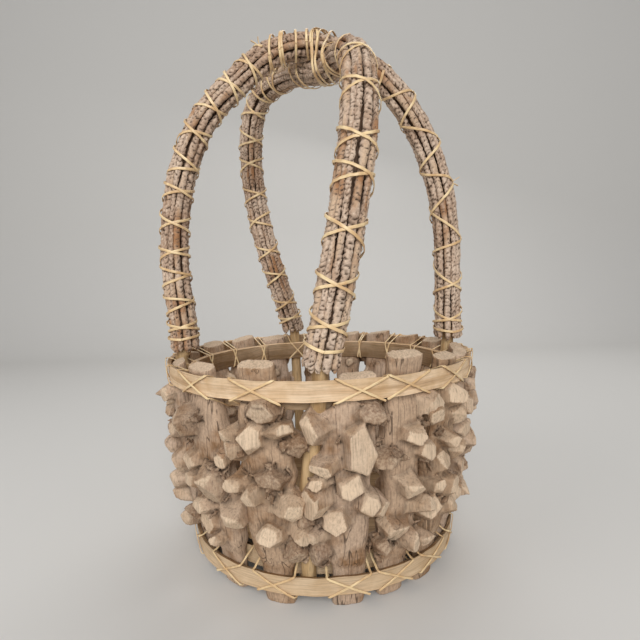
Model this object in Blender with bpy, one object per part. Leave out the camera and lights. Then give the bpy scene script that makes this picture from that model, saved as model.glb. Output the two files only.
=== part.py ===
"""Twig foraging basket: a ring of knobbly stakes pinched between split wood hoops,
a board floor, and two crossing bundle handles bound with cane.

Metres, +Z up. The origin is on the ground under the middle of the basket, and the
front is at -Y. Angles round the wall are measured in degrees from the front, towards +X.
"""
import math
import random

import bmesh
import bpy
from mathutils import Vector

# Hoops. The wall leans outwards, and every hoop leans with it.
RIM_RADIUS = 0.140
RIM_TOP = 0.180
RIM_WIDTH = 0.016
RIM_INNER_TOP = 0.1726
RIM_INNER_WIDTH = 0.0185
BASE_RADIUS = 0.122
BASE_BOTTOM = 0.012
BASE_WIDTH = 0.0155
BASE_INNER_BOTTOM = 0.0195
BASE_INNER_WIDTH = 0.0165
HOOP_THICKNESS = 0.004
HOOP_SEGMENTS = 60

# The slot between an outer and an inner hoop, which pinches stakes and cores.
SLOT_WIDTH = 0.0124
CLEARANCE = 0.0003

# Stakes: top angle, foot angle, and how far the sawn top stands up and the foot is cut
# short, as shares of STAKE_STAND and FOOT_TRIM.
STAKE_SHARES = (
    (11.5, 8.5, 0.18, 0.0),
    (27.7, 26.5, 1.0, 0.35),
    (48.5, 46.0, 0.55, 0.0),
    (68.0, 67.0, 0.35, 0.8),
    (86.5, 86.5, 0.20, 0.0),
    (112.0, 111.0, 0.20, 0.5),
    (130.0, 130.0, 0.25, 0.0),
    (147.5, 147.0, 0.35, 0.7),
    (164.5, 164.0, 0.20, 0.0),
    (181.0, 181.0, 0.12, 0.6),
    (205.0, 205.0, 0.12, 0.0),
    (222.5, 223.0, 0.30, 0.5),
    (242.0, 243.0, 0.25, 0.0),
    (261.5, 262.5, 0.16, 0.8),
    (288.5, 289.5, 0.16, 0.0),
    (316.0, 319.0, 0.45, 0.6),
    (340.0, 341.5, 0.80, 0.0),
)
STAKE_STAND = 0.016
FOOT_TRIM = 0.004
STAKE_END_HALF_ANGLE = 6.2
STAKE_MIDDLE_HALF_ANGLE = 10.0
STAKE_GAP_ANGLE = 2.6
STAKE_OUTER_SWELL = 0.007
STAKE_INNER_SWELL = 0.004
STAKE_SPREAD_START = 0.040
STAKE_SPREAD_END = 0.152
STAKE_LEVELS = 7
SPREAD_POWER = 0.8
LEAST_WIDTH_SHARE = 0.86
LEAST_SWELL_SHARE = 0.55
EDGE_SWELL_SHARE = 0.35
KNOB_LENGTH = 0.013
KNOB_TIP_SHARE = 0.72
KNOB_COUNT_SHARE = 0.75
LEAST_KNOB_SHARE = 0.55
KNOB_DROP_SHARE = 0.35
KNOB_LIFT_SHARE = 0.45
KNOB_SEED = 41

# Floor board, resting on the cane that passes over the inner base hoop.
FLOOR_THICKNESS = 0.006
FLOOR_SEGMENTS = 40

# Handles: eight twigs laid round a core stick, whose ends run down in the wall.
TWIG_DIAMETER = 0.0069
TWIG_COUNT = 8
TWIG_SIDES = 5
TWIG_STATIONS = 24
CORE_SIDES = 6
HANDLE_FOOT = 0.186
CORE_END = 0.014
CORE_LEVELS = (0.168, 0.100, 0.045)
ARCH_A_RISE = 0.278
ARCH_A_SPRING = 0.084
ARCH_A_LEFT_ANGLE = 275.0
ARCH_A_RIGHT_ANGLE = 99.0
ARCH_B_FRONT_ANGLE = 0.0
ARCH_B_REAR_ANGLE = 193.0
ARCH_B_FRONT_LEAN_ANGLE = -6.5
# Places on the front-to-back arch between its feet, as shares of RIM_RADIUS sideways
# and backwards, and of the arch's own rise.
ARCH_B_SHARES = (
    (0.085, -0.890, 0.21),
    (0.170, -0.850, 0.44),
    (0.235, -0.770, 0.66),
    (0.257, -0.590, 0.86),
    (0.215, -0.300, 0.975),
    (0.100, 0.030, 0.985),
    (-0.119, 0.335, 1.050),
    (-0.328, 0.613, 1.058),
    (-0.468, 0.770, 0.994),
    (-0.520, 0.835, 0.815),
    (-0.485, 0.860, 0.565),
    (-0.386, 0.880, 0.32),
    (-0.293, 0.900, 0.15),
)
# Where the two arches cross they are bound flat: thinner upwards, wider sideways.
PRESS_SHARE = 0.72
SPREAD_SHARE = 1.18
PRESS_REACH = 0.075
CROSSING_EASE = 0.0026
CURVE_STEPS = 12

# Cane lashings: half-round strip, one strand wound each way round every leg and hoop.
CANE_WIDTH = 0.0024
CANE_HEIGHT = 0.0010
CANE_CLEARANCE = 0.0006
CANE_PITCH = 0.034
CANE_POINTS = 8
CANE_END_MARGIN = 0.012
CROWN_MARGIN = 0.050
CROWN_LOOPS = 4
CROWN_PITCH = 0.0036
CROWN_POINTS = 16
CANE_EDGE_ANGLE = 1.3
FACE_SPANS = 3
CORNER_EASE = 0.0006
RETURN_POINTS = 5
SEAM_STAKE = 1
LEFT_AND_RIGHT_PHASE = 0.25
FRONT_AND_REAR_PHASE = 0.0

# Edges that turn more sharply than these stay crisp.
CRISP_ANGLE = 50.0
CRISP_STAKE_ANGLE = 35.0
CRISP_TWIG_ANGLE = 80.0

HOOP_SAG = RIM_RADIUS * (1.0 - math.cos(math.pi / HOOP_SEGMENTS))
RIM_MIDDLE = RIM_TOP - RIM_WIDTH / 2
BASE_MIDDLE = BASE_BOTTOM + BASE_WIDTH / 2
WALL_SLOPE = (RIM_RADIUS - BASE_RADIUS) / (RIM_MIDDLE - BASE_MIDDLE)
TWIG_RING = (TWIG_DIAMETER + CLEARANCE) / (2 * math.sin(math.pi / TWIG_COUNT))
BUNDLE_RADIUS = TWIG_RING + TWIG_DIAMETER / 2
CORE_RADIUS = TWIG_RING - TWIG_DIAMETER / 2 - CLEARANCE
CROSSING_DROP = 2 * PRESS_SHARE * BUNDLE_RADIUS + CLEARANCE
ARCH_B_RISE = ARCH_A_RISE - CROSSING_DROP - CROSSING_EASE
LAYER_STEP = CANE_HEIGHT + 2 * CLEARANCE
FLOOR_BOTTOM = BASE_INNER_BOTTOM + BASE_INNER_WIDTH + CANE_CLEARANCE + 2 * LAYER_STEP
CORE_HALF_ANGLE = math.degrees(CORE_RADIUS / BASE_RADIUS)


def wall_radius(height):
    """Outer face of the outer hoops, carried on up and down the wall."""
    return BASE_RADIUS + WALL_SLOPE * (height - BASE_MIDDLE)


def slot_outer(height):
    return wall_radius(height) - HOOP_THICKNESS


def slot_inner(height):
    return slot_outer(height) - SLOT_WIDTH


def slot_middle(height):
    return slot_inner(height) + SLOT_WIDTH / 2


def polar(angle, radius, height):
    """A place given by its angle from the front, its radius and its height."""
    turn = math.radians(angle)
    return Vector((radius * math.sin(turn), -radius * math.cos(turn), height))


def smooth(value):
    value = min(max(value, 0.0), 1.0)
    return value * value * (3 - 2 * value)


def clear_scene():
    for item in list(bpy.data.objects):
        bpy.data.objects.remove(item, do_unlink=True)


def finish_material(name, colour, roughness):
    material = bpy.data.materials.new(name)
    material.use_nodes = True
    shader = material.node_tree.nodes["Principled BSDF"]
    shader.inputs["Base Color"].default_value = (*colour, 1.0)
    shader.inputs["Roughness"].default_value = roughness
    shader.inputs["Metallic"].default_value = 0.0
    return material


def add_object(name, mesh, material):
    item = bpy.data.objects.new(name, mesh)
    mesh.materials.append(material)
    bpy.context.scene.collection.objects.link(item)
    return item


def loft(rings, closed=False):
    """Skin a list of equal rings of points; an open run gets a cap at each end."""
    mesh = bmesh.new()
    rows = [[mesh.verts.new(point) for point in ring] for ring in rings]
    count = len(rows[0])
    pairs = list(zip(rows, rows[1:]))
    if closed:
        pairs.append((rows[-1], rows[0]))
    for lower, upper in pairs:
        for i in range(count):
            j = (i + 1) % count
            mesh.faces.new((lower[i], lower[j], upper[j], upper[i]))
    if not closed:
        mesh.faces.new(list(reversed(rows[0])))
        mesh.faces.new(rows[-1])
    return mesh, rows


def keep_full(mesh, rows, hearts):
    """Split each twisted side face along the diagonal that lies further from the middle."""
    for lower, upper, heart in zip(rows, rows[1:], hearts):
        for i, start in enumerate(lower):
            j = (i + 1) % len(lower)
            quad = (start, lower[j], upper[j], upper[i])
            face = mesh.faces.get(quad)
            first = ((quad[0].co + quad[2].co) / 2 - heart).length
            second = ((quad[1].co + quad[3].co) / 2 - heart).length
            ends = (quad[0], quad[2]) if first > second else (quad[1], quad[3])
            bmesh.utils.face_split(face, *ends)


def settle(mesh, name, angle=CRISP_ANGLE):
    """Turn the faces outwards, shade round stretches smooth and store the mesh."""
    bmesh.ops.recalc_face_normals(mesh, faces=mesh.faces[:])
    data = bpy.data.meshes.new(name)
    mesh.to_mesh(data)
    mesh.free()
    data.shade_smooth()
    data.set_sharp_from_angle(angle=math.radians(angle))
    return data


def hoop(name, bottom, width, outer_at, material):
    """A flat band bent into a ring, leaning with the wall."""
    top = bottom + width
    rings = []
    for step in range(HOOP_SEGMENTS):
        angle = 360.0 * step / HOOP_SEGMENTS
        rings.append([
            polar(angle, outer_at(bottom), bottom),
            polar(angle, outer_at(top), top),
            polar(angle, outer_at(top) - HOOP_THICKNESS, top),
            polar(angle, outer_at(bottom) - HOOP_THICKNESS, bottom),
        ])
    mesh, _ = loft(rings, closed=True)
    add_object(name, settle(mesh, name), material)


def core_angle(angle, lean, height):
    """A core stick leans sideways as it runs down in the wall."""
    return angle + (lean - angle) * smooth((HANDLE_FOOT - height) / (HANDLE_FOOT - CORE_END))


def wall_cores():
    """Angles of the four core sticks half way down the wall."""
    middle = (STAKE_SPREAD_START + STAKE_SPREAD_END) / 2
    front = core_angle(ARCH_B_FRONT_ANGLE, ARCH_B_FRONT_LEAN_ANGLE, middle) % 360.0
    return (front, ARCH_A_RIGHT_ANGLE, ARCH_B_REAR_ANGLE, ARCH_A_LEFT_ANGLE)


def side_room(index, side):
    """How far a stake may spread to one side before its neighbour or a core stick."""
    own = sum(STAKE_SHARES[index][:2]) / 2
    other = STAKE_SHARES[(index + side) % len(STAKE_SHARES)]
    distance = (side * (sum(other[:2]) / 2 - own)) % 360.0
    room = distance / 2 - STAKE_GAP_ANGLE / 2
    for core in wall_cores():
        away = (side * (core - own)) % 360.0
        if away < distance:
            room = away - CORE_HALF_ANGLE - STAKE_GAP_ANGLE / 2
    return min(room, STAKE_MIDDLE_HALF_ANGLE)


def stake_rings(index, dice):
    """Level rings of eight points each, four on the outer face and four on the inner."""
    top_angle, foot_angle, stand_share, trim_share = STAKE_SHARES[index]
    top = RIM_TOP + STAKE_STAND * stand_share
    foot = FOOT_TRIM * trim_share
    rooms = (side_room(index, -1), side_room(index, 1))
    levels = [(foot, 0.0), (STAKE_SPREAD_START, 0.0)]
    for step in range(1, STAKE_LEVELS - 1):
        share = step / (STAKE_LEVELS - 1)
        levels.append((STAKE_SPREAD_START + (STAKE_SPREAD_END - STAKE_SPREAD_START) * share,
                       math.sin(math.pi * share) ** SPREAD_POWER))
    levels += [(STAKE_SPREAD_END, 0.0), (top, 0.0)]
    rings = []
    for height, spread in levels:
        angle = foot_angle + (top_angle - foot_angle) * (height - foot) / (top - foot)
        left = STAKE_END_HALF_ANGLE + (rooms[0] - STAKE_END_HALF_ANGLE) * spread
        right = STAKE_END_HALF_ANGLE + (rooms[1] - STAKE_END_HALF_ANGLE) * spread
        if spread:
            left *= dice.uniform(LEAST_WIDTH_SHARE, 1.0)
            right *= dice.uniform(LEAST_WIDTH_SHARE, 1.0)
        turns = [-left, -left / 3, right / 3, right]
        ring = []
        for place, turn in enumerate(turns):
            edge = EDGE_SWELL_SHARE if place in (0, 3) else 1.0
            swell = STAKE_OUTER_SWELL * spread * edge * dice.uniform(LEAST_SWELL_SHARE, 1.0)
            radius = slot_outer(height) - CLEARANCE - HOOP_SAG + swell
            ring.append(polar(angle + turn, radius, height))
        for place, turn in enumerate(reversed(turns)):
            edge = EDGE_SWELL_SHARE if place in (0, 3) else 1.0
            swell = STAKE_INNER_SWELL * spread * edge * dice.uniform(LEAST_SWELL_SHARE, 1.0)
            radius = slot_inner(height) + CLEARANCE + HOOP_SAG - swell
            ring.append(polar(angle + turn, radius, height))
        rings.append(ring)
    return rings


def pull_knob(mesh, face, dice):
    """Pull one face of a stake out into the stub of a cut branch."""
    centre = face.calc_center_median()
    outwards = Vector((centre.x, centre.y, 0.0)).normalized()
    tilt = dice.uniform(-KNOB_DROP_SHARE, KNOB_LIFT_SHARE)
    reach = KNOB_LENGTH * dice.uniform(LEAST_KNOB_SHARE, 1.0)
    shift = outwards * reach + Vector((0.0, 0.0, reach * tilt))
    corners = list(face.verts)
    tips = []
    for corner in corners:
        tips.append(mesh.verts.new(centre + (corner.co - centre) * KNOB_TIP_SHARE + shift))
    mesh.faces.remove(face)
    for i in range(len(corners)):
        j = (i + 1) % len(corners)
        mesh.faces.new((corners[i], corners[j], tips[j], tips[i]))
    mesh.faces.new(tips)


def stake(index, material):
    """One gnarled stake: a stem that swells between the hoops, with sawn branch stubs."""
    dice = random.Random(KNOB_SEED + index)
    mesh, rows = loft(stake_rings(index, dice))
    bmesh.ops.recalc_face_normals(mesh, faces=mesh.faces[:])
    picked = []
    for level in range(1, STAKE_LEVELS):
        for column in range(3):
            if (level + column + index) % 2 == 0 and dice.random() < KNOB_COUNT_SHARE:
                corners = {rows[level][column], rows[level][column + 1],
                           rows[level + 1][column], rows[level + 1][column + 1]}
                picked.extend(face for face in rows[level][column].link_faces
                              if set(face.verts) == corners)
    for face in picked:
        pull_knob(mesh, face, dice)
    name = f"stake_{index + 1:02d}"
    add_object(name, settle(mesh, name, CRISP_STAKE_ANGLE), material)


def floor_board(material):
    """A round board inside the stakes."""
    top = FLOOR_BOTTOM + FLOOR_THICKNESS
    radius = slot_inner(FLOOR_BOTTOM) - STAKE_INNER_SWELL / 2
    rings = []
    for height in (FLOOR_BOTTOM, top):
        rings.append([polar(360.0 * i / FLOOR_SEGMENTS, radius, height)
                      for i in range(FLOOR_SEGMENTS)])
    mesh, _ = loft(rings)
    add_object("floor_board", settle(mesh, "floor_board"), material)


def arch_a_curve():
    """Left-to-right arch: straight legs, then half an ellipse."""
    left = polar(ARCH_A_LEFT_ANGLE, slot_middle(HANDLE_FOOT), HANDLE_FOOT)
    right = polar(ARCH_A_RIGHT_ANGLE, slot_middle(HANDLE_FOOT), HANDLE_FOOT)
    middle = (left + right) / 2
    half = (right - left) / 2
    spring = Vector((0.0, 0.0, ARCH_A_SPRING))
    rise = Vector((0.0, 0.0, ARCH_A_RISE - ARCH_A_SPRING))
    points = [left]
    steps = 4 * CURVE_STEPS
    for step in range(steps + 1):
        turn = math.pi * step / steps
        points.append(middle + spring - half * math.cos(turn) + rise * math.sin(turn))
    points.append(right)
    return points


def arch_b_curve():
    """Front-to-back arch: a smooth curve through its places, skewed over the crown."""
    front = polar(ARCH_B_FRONT_ANGLE, slot_middle(HANDLE_FOOT), HANDLE_FOOT)
    rear = polar(ARCH_B_REAR_ANGLE, slot_middle(HANDLE_FOOT), HANDLE_FOOT)
    places = [front]
    for across, back, up in ARCH_B_SHARES:
        places.append(Vector((across * RIM_RADIUS, back * RIM_RADIUS,
                              HANDLE_FOOT + up * ARCH_B_RISE)))
    places.append(rear)
    ends = [places[0] * 2 - places[1]] + places + [places[-1] * 2 - places[-2]]
    points = []
    for a, b, c, d in zip(ends, ends[1:], ends[2:], ends[3:]):
        for step in range(CURVE_STEPS):
            t = step / CURVE_STEPS
            points.append((b * 2 + (c - a) * t + (a * 2 - b * 5 + c * 4 - d) * t ** 2
                           + (b * 3 - a - c * 3 + d) * t ** 3) / 2)
    points.append(rear)
    return points


def even_points(points, count):
    """The same curve with its points evenly spaced."""
    lengths = [0.0]
    for a, b in zip(points, points[1:]):
        lengths.append(lengths[-1] + (b - a).length)
    result = []
    k = 0
    for i in range(count):
        wanted = lengths[-1] * i / (count - 1)
        while k < len(points) - 2 and lengths[k + 1] < wanted:
            k += 1
        share = (wanted - lengths[k]) / (lengths[k + 1] - lengths[k])
        result.append(points[k].lerp(points[k + 1], share))
    return result, lengths[-1]


class Arch:
    """Stations along a handle, each with its place and the bundle's two half-axes."""

    def __init__(self, curve, crossing):
        self.places, self.length = even_points(curve, TWIG_STATIONS)
        heart = Vector((0.0, 0.0, HANDLE_FOOT))
        self.outwards = []
        self.sideways = []
        last = len(self.places) - 1
        for i, place in enumerate(self.places):
            run = self.places[min(i + 1, last)] - self.places[max(i - 1, 0)]
            if i in (0, last):
                run = Vector((0.0, 0.0, run.z))
            run.normalize()
            out = place - heart
            out = (out - run * out.dot(run)).normalized()
            near = 1.0 - smooth((place - crossing).length / PRESS_REACH)
            self.outwards.append(out * (1.0 + (PRESS_SHARE - 1.0) * near))
            self.sideways.append(run.cross(out).normalized() * (1.0 + (SPREAD_SHARE - 1.0) * near))

    def at(self, share, out, side):
        """A place beside the middle line, at a share of its length."""
        spot = min(max(share, 0.0), 1.0) * (len(self.places) - 1)
        k = min(int(spot), len(self.places) - 2)
        t = spot - k
        middle = self.places[k].lerp(self.places[k + 1], t)
        outwards = self.outwards[k].lerp(self.outwards[k + 1], t)
        sideways = self.sideways[k].lerp(self.sideways[k + 1], t)
        return middle + outwards * out + sideways * side


def crossing_place():
    """Where the two arches cross, on the upper one's middle line."""
    curve = arch_a_curve()
    under = arch_b_curve()
    pairs = ((Vector((a.x - b.x, a.y - b.y)).length, a) for a in curve for b in under)
    return min(pairs, key=lambda pair: pair[0])[1]


def twig(name, arch, turn, material):
    """One twig of a bundle, beside the core stick from foot to foot."""
    rings = []
    for i in range(TWIG_STATIONS):
        share = i / (TWIG_STATIONS - 1)
        ring = []
        for side in range(TWIG_SIDES):
            round_twig = turn + 2 * math.pi * side / TWIG_SIDES
            out = TWIG_RING * math.cos(turn) + TWIG_DIAMETER / 2 * math.cos(round_twig)
            aside = TWIG_RING * math.sin(turn) + TWIG_DIAMETER / 2 * math.sin(round_twig)
            ring.append(arch.at(share, out, aside))
        rings.append(ring)
    mesh, _ = loft(rings)
    add_object(name, settle(mesh, name, CRISP_TWIG_ANGLE), material)


def core_foot(angle, lean, heights):
    """Rings of a core stick inside the slot of the wall."""
    rings = []
    for height in heights:
        here = core_angle(angle, lean, height)
        middle = polar(here, slot_middle(height), height)
        out = polar(here, 1.0, 0.0)
        side = Vector((0.0, 0.0, 1.0)).cross(out)
        ring = []
        for corner in range(CORE_SIDES):
            turn = 2 * math.pi * corner / CORE_SIDES
            ring.append(middle + (out * math.cos(turn) + side * math.sin(turn)) * CORE_RADIUS)
        rings.append(ring)
    return rings


def core(name, arch, first, last, lean, material):
    """The core stick: down in the wall, over the arch, and down again."""
    heights = CORE_LEVELS + (CORE_END,)
    rings = []
    for i in range(TWIG_STATIONS):
        share = i / (TWIG_STATIONS - 1)
        ring = []
        for corner in range(CORE_SIDES):
            turn = 2 * math.pi * corner / CORE_SIDES
            ring.append(arch.at(share, CORE_RADIUS * math.cos(turn), CORE_RADIUS * math.sin(turn)))
        rings.append(ring)
    start = list(reversed(core_foot(first, lean, heights)))
    end = [[ring[-k] for k in range(CORE_SIDES)] for ring in core_foot(last, last, heights)]
    mesh, _ = loft(start + rings + end)
    add_object(name, settle(mesh, name, CRISP_TWIG_ANGLE), material)


def cane_rings(points, faces_out):
    """Half-round strip along its points: flat side down, ridge out."""
    rings = []
    last = len(points) - 1
    for i, point in enumerate(points):
        run = (points[min(i + 1, last)] - points[max(i - 1, 0)]).normalized()
        out = (faces_out[i] - run * faces_out[i].dot(run)).normalized()
        across = run.cross(out).normalized() * CANE_WIDTH / 2
        rings.append([point - across, point + across, point + out * CANE_HEIGHT])
    return rings


def straighten_ends(points, faces_out):
    """Each end of a strand runs on straight for one width of cane."""
    first = points[0] + (points[0] - points[1]).normalized() * CANE_WIDTH
    final = points[-1] + (points[-1] - points[-2]).normalized() * CANE_WIDTH
    return ([first] + points + [final], [faces_out[0]] + faces_out + [faces_out[-1]])


def report_gap(name, points, faces_out, turn_points):
    """Print the least gap of a strand to itself, measured between its points."""
    least = math.inf
    for i, point in enumerate(points):
        out = faces_out[i].normalized()
        for other in points[i + turn_points // 2:]:
            apart = other - point
            lifted = abs(apart.dot(out))
            beside = (apart - out * apart.dot(out)).length
            least = min(least, max(lifted - CANE_HEIGHT, beside - CANE_WIDTH))
    print(f"{name}: least gap to itself {least * 1000:.2f} mm")


def leg_strand(arch, start, end, phase):
    """A strand wound up a bundle and, still turning the same way, back down over itself.

    Its two runs cross twice in each turn, and the phase says where round the bundle.
    """
    turns = max(1, round(abs(end - start) * arch.length / CANE_PITCH))
    count = turns * CANE_POINTS
    points = []
    faces_out = []
    for i in range(2 * count):
        layer = 0 if i <= count else 1
        rise = BUNDLE_RADIUS + CANE_CLEARANCE + layer * LAYER_STEP
        radius = rise / math.cos(math.pi / CANE_POINTS)
        share = start + (end - start) * min(i, 2 * count - i) / count
        turn = 2 * math.pi * (i / CANE_POINTS + phase)
        spot = arch.at(share, radius * math.cos(turn), radius * math.sin(turn))
        points.append(spot)
        faces_out.append(spot - arch.at(share, 0.0, 0.0))
    return points, faces_out


def add_strand(name, points, faces_out, turn_points, material):
    """Lay the cane along its points, as one unbroken strip."""
    points, faces_out = straighten_ends(points, faces_out)
    report_gap(name, points, faces_out, turn_points)
    rings = cane_rings(points, faces_out)
    mesh, rows = loft(rings)
    hearts = [sum(lower + upper, Vector()) / len(lower + upper)
              for lower, upper in zip(rings, rings[1:])]
    keep_full(mesh, rows, hearts)
    add_object(name, settle(mesh, name), material)


def leg_lashing(name, arch, start, end, phase, material):
    points, faces_out = leg_strand(arch, start, end, phase)
    add_strand(name, points, faces_out, CANE_POINTS, material)


def free_shares(arch, crossing):
    """The share of an arch's length where it comes near the crossing, and leaves it."""
    near = []
    steps = TWIG_STATIONS * CURVE_STEPS
    for i in range(steps + 1):
        if (arch.at(i / steps, 0.0, 0.0) - crossing).length < CROWN_MARGIN:
            near.append(i / steps)
    return near[0], near[-1]


def bundle_outline(arches, centre, across, along):
    """Places on both bundles near the crossing, as seen along the loops of the crown lashing."""
    cloud = []
    steps = TWIG_STATIONS * CURVE_STEPS // 2
    for arch in arches:
        for i in range(steps + 1):
            if (arch.at(i / steps, 0.0, 0.0) - centre).length > CROWN_MARGIN:
                continue
            for k in range(2 * TWIG_COUNT):
                turn = math.pi * k / TWIG_COUNT
                away = arch.at(i / steps, BUNDLE_RADIUS * math.cos(turn),
                               BUNDLE_RADIUS * math.sin(turn)) - centre
                cloud.append((away.dot(along), away.dot(across), away.z))
    return cloud


def hull_radius(section, turn):
    """Distance from the middle to the taut outline round a section, in one direction."""
    least = math.inf
    for k in range(-CROWN_POINTS // 4 + 1, CROWN_POINTS // 4):
        tip = 2 * math.pi * k / CROWN_POINTS
        facing = turn + tip
        reach = max(x * math.cos(facing) + y * math.sin(facing) for x, y in section)
        least = min(least, reach / math.cos(tip))
    return least


def crown_lashing(arches, crossing, material):
    """One strand wound several times round both bundles where they cross."""
    centre = crossing - Vector((0.0, 0.0, CROSSING_DROP / 2))
    curve_b = arch_b_curve()
    nearest = min(range(len(curve_b)), key=lambda k: (curve_b[k] - centre).length)
    run_b = curve_b[nearest + 1] - curve_b[nearest - 1]
    run_b = Vector((run_b.x, run_b.y, 0.0)).normalized()
    run_a = (polar(ARCH_A_RIGHT_ANGLE, 1.0, 0.0) - polar(ARCH_A_LEFT_ANGLE, 1.0, 0.0)).normalized()
    across = (run_a + run_b).normalized()
    along = (run_a - run_b).normalized()
    cloud = bundle_outline(arches, centre, across, along)
    points = []
    faces_out = []
    for i in range(CROWN_LOOPS * CROWN_POINTS + 1):
        turn = 2 * math.pi * i / CROWN_POINTS
        shift = CROWN_PITCH * (i / CROWN_POINTS - CROWN_LOOPS / 2)
        section = [(x, y) for place, x, y in cloud if abs(place - shift) < 2 * CROWN_PITCH]
        radius = hull_radius(section, turn) / math.cos(math.pi / CROWN_POINTS) + CANE_CLEARANCE
        out = across * math.cos(turn) + Vector((0.0, 0.0, math.sin(turn)))
        points.append(centre + along * shift + out * radius)
        faces_out.append(out)
    add_strand("crown_lashing", points, faces_out, CROWN_POINTS, material)


def hoop_strand(lower, upper, inner_lower, inner_upper, hand, layer):
    """A strand that crosses every stake on the outer hoop and returns inside the inner one."""
    lift = CANE_CLEARANCE + layer * LAYER_STEP
    edge = STAKE_END_HALF_ANGLE + CANE_EDGE_ANGLE
    middle = (lower + upper) / 2
    count = len(STAKE_SHARES)
    order = [(SEAM_STAKE + i) % count for i in range(count)]
    if hand < 0:
        order.reverse()
    points = []
    faces_out = []

    def put(angle, radius, height, out, up):
        points.append(polar(angle, radius, height))
        faces_out.append(polar(angle, out, up))

    for index in order:
        top_angle, foot_angle, _, _ = STAKE_SHARES[index]
        share = (middle - BASE_MIDDLE) / (RIM_MIDDLE - BASE_MIDDLE)
        own = foot_angle + (top_angle - foot_angle) * share
        for span in range(FACE_SPANS + 1):
            t = span / FACE_SPANS
            height = lower - lift + (upper - lower + 2 * lift) * t
            corner = 1.0 if span in (0, FACE_SPANS) else 0.0
            proud = lift + HOOP_SAG + corner * CORNER_EASE
            put(own + hand * edge * (2 * t - 1), wall_radius(height) + proud, height,
                1.0, corner * (2 * t - 1))
        out_angle = own + hand * edge
        put(out_angle, slot_outer(upper) - HOOP_SAG - lift, upper + lift, 0.0, 1.0)
        put(out_angle, slot_inner(inner_upper) + lift, inner_upper + lift, 0.0, 1.0)
        put(out_angle, slot_inner(inner_upper) - HOOP_THICKNESS - lift - HOOP_SAG,
            inner_upper + lift, -1.0, 1.0)
        position = (index + hand) % count
        next_top, next_foot, _, _ = STAKE_SHARES[position]
        following = next_foot + (next_top - next_foot) * share - hand * edge
        put(following, slot_inner(inner_lower) - HOOP_THICKNESS - lift - HOOP_SAG,
            inner_lower - lift, -1.0, -1.0)
        put(following, slot_inner(inner_lower) + lift, inner_lower - lift, 0.0, -1.0)
        put(following, slot_outer(lower) - HOOP_SAG - lift, lower - lift, 0.0, -1.0)
    return points[:-1], faces_out[:-1]


def hoop_lashing(name, outer_bottom, outer_width, inner_bottom, inner_width, material):
    for letter, hand, layer in (("a", 1, 0), ("b", -1, 1)):
        points, faces_out = hoop_strand(outer_bottom, outer_bottom + outer_width,
                                        inner_bottom, inner_bottom + inner_width, hand, layer)
        add_strand(f"{name}_{letter}", points, faces_out, FACE_SPANS + RETURN_POINTS,
                   material)


def main():
    clear_scene()
    split_wood = finish_material("split_wood", (0.62, 0.46, 0.27), 0.7)
    driftwood = finish_material("weathered_stake_wood", (0.36, 0.27, 0.19), 0.85)
    bark = finish_material("twig_bark", (0.21, 0.15, 0.10), 0.9)
    peeled = finish_material("peeled_core_wood", (0.45, 0.31, 0.17), 0.75)
    cane = finish_material("split_cane", (0.70, 0.55, 0.29), 0.55)
    board = finish_material("floor_wood", (0.30, 0.22, 0.14), 0.8)

    rim_bottom = RIM_TOP - RIM_WIDTH
    rim_inner_bottom = RIM_INNER_TOP - RIM_INNER_WIDTH
    hoop("rim_hoop_outer", rim_bottom, RIM_WIDTH, wall_radius, split_wood)
    hoop("rim_hoop_inner", rim_inner_bottom, RIM_INNER_WIDTH, slot_inner, split_wood)
    hoop("base_hoop_outer", BASE_BOTTOM, BASE_WIDTH, wall_radius, split_wood)
    hoop("base_hoop_inner", BASE_INNER_BOTTOM, BASE_INNER_WIDTH, slot_inner, split_wood)
    for index in range(len(STAKE_SHARES)):
        stake(index, driftwood)
    floor_board(board)

    crossing = crossing_place()
    under = crossing - Vector((0.0, 0.0, CROSSING_DROP))
    arch_a = Arch(arch_a_curve(), crossing)
    arch_b = Arch(arch_b_curve(), under)
    for letter, arch in (("a", arch_a), ("b", arch_b)):
        for number in range(TWIG_COUNT):
            turn = 2 * math.pi * (number + 0.5) / TWIG_COUNT
            twig(f"handle_{letter}_twig_{number + 1}", arch, turn, bark)
    core("handle_a_core", arch_a, ARCH_A_LEFT_ANGLE, ARCH_A_RIGHT_ANGLE, ARCH_A_LEFT_ANGLE, peeled)
    core("handle_b_core", arch_b, ARCH_B_FRONT_ANGLE, ARCH_B_REAR_ANGLE,
         ARCH_B_FRONT_LEAN_ANGLE, peeled)

    for arch, spot, phase, names in (
            (arch_a, crossing, LEFT_AND_RIGHT_PHASE, ("left", "right")),
            (arch_b, under, FRONT_AND_REAR_PHASE, ("front", "rear"))):
        first, last = free_shares(arch, spot)
        margin = CANE_END_MARGIN / arch.length
        leg_lashing(f"{names[0]}_leg_lashing", arch, margin, first, phase, cane)
        leg_lashing(f"{names[1]}_leg_lashing", arch, 1.0 - margin, last, phase, cane)
    crown_lashing((arch_a, arch_b), crossing, cane)
    hoop_lashing("rim_lashing", rim_bottom, RIM_WIDTH, rim_inner_bottom, RIM_INNER_WIDTH, cane)
    hoop_lashing("base_lashing", BASE_BOTTOM, BASE_WIDTH, BASE_INNER_BOTTOM, BASE_INNER_WIDTH,
                 cane)


main()
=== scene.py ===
# %% [markdown]
# # A twig foraging basket
# The basket is a ring of gnarled stakes, pinched at the top and at the bottom between pairs of
# split wood hoops. Two bundles of twigs cross over it as handles, and pale cane binds it all.
# The frame that is loaded here holds every piece at its real size. What follows gives each
# piece its real surface, and nothing is moved.

import math
import random

import bmesh
import bpy
import numpy as np
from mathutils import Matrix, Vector, noise


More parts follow.
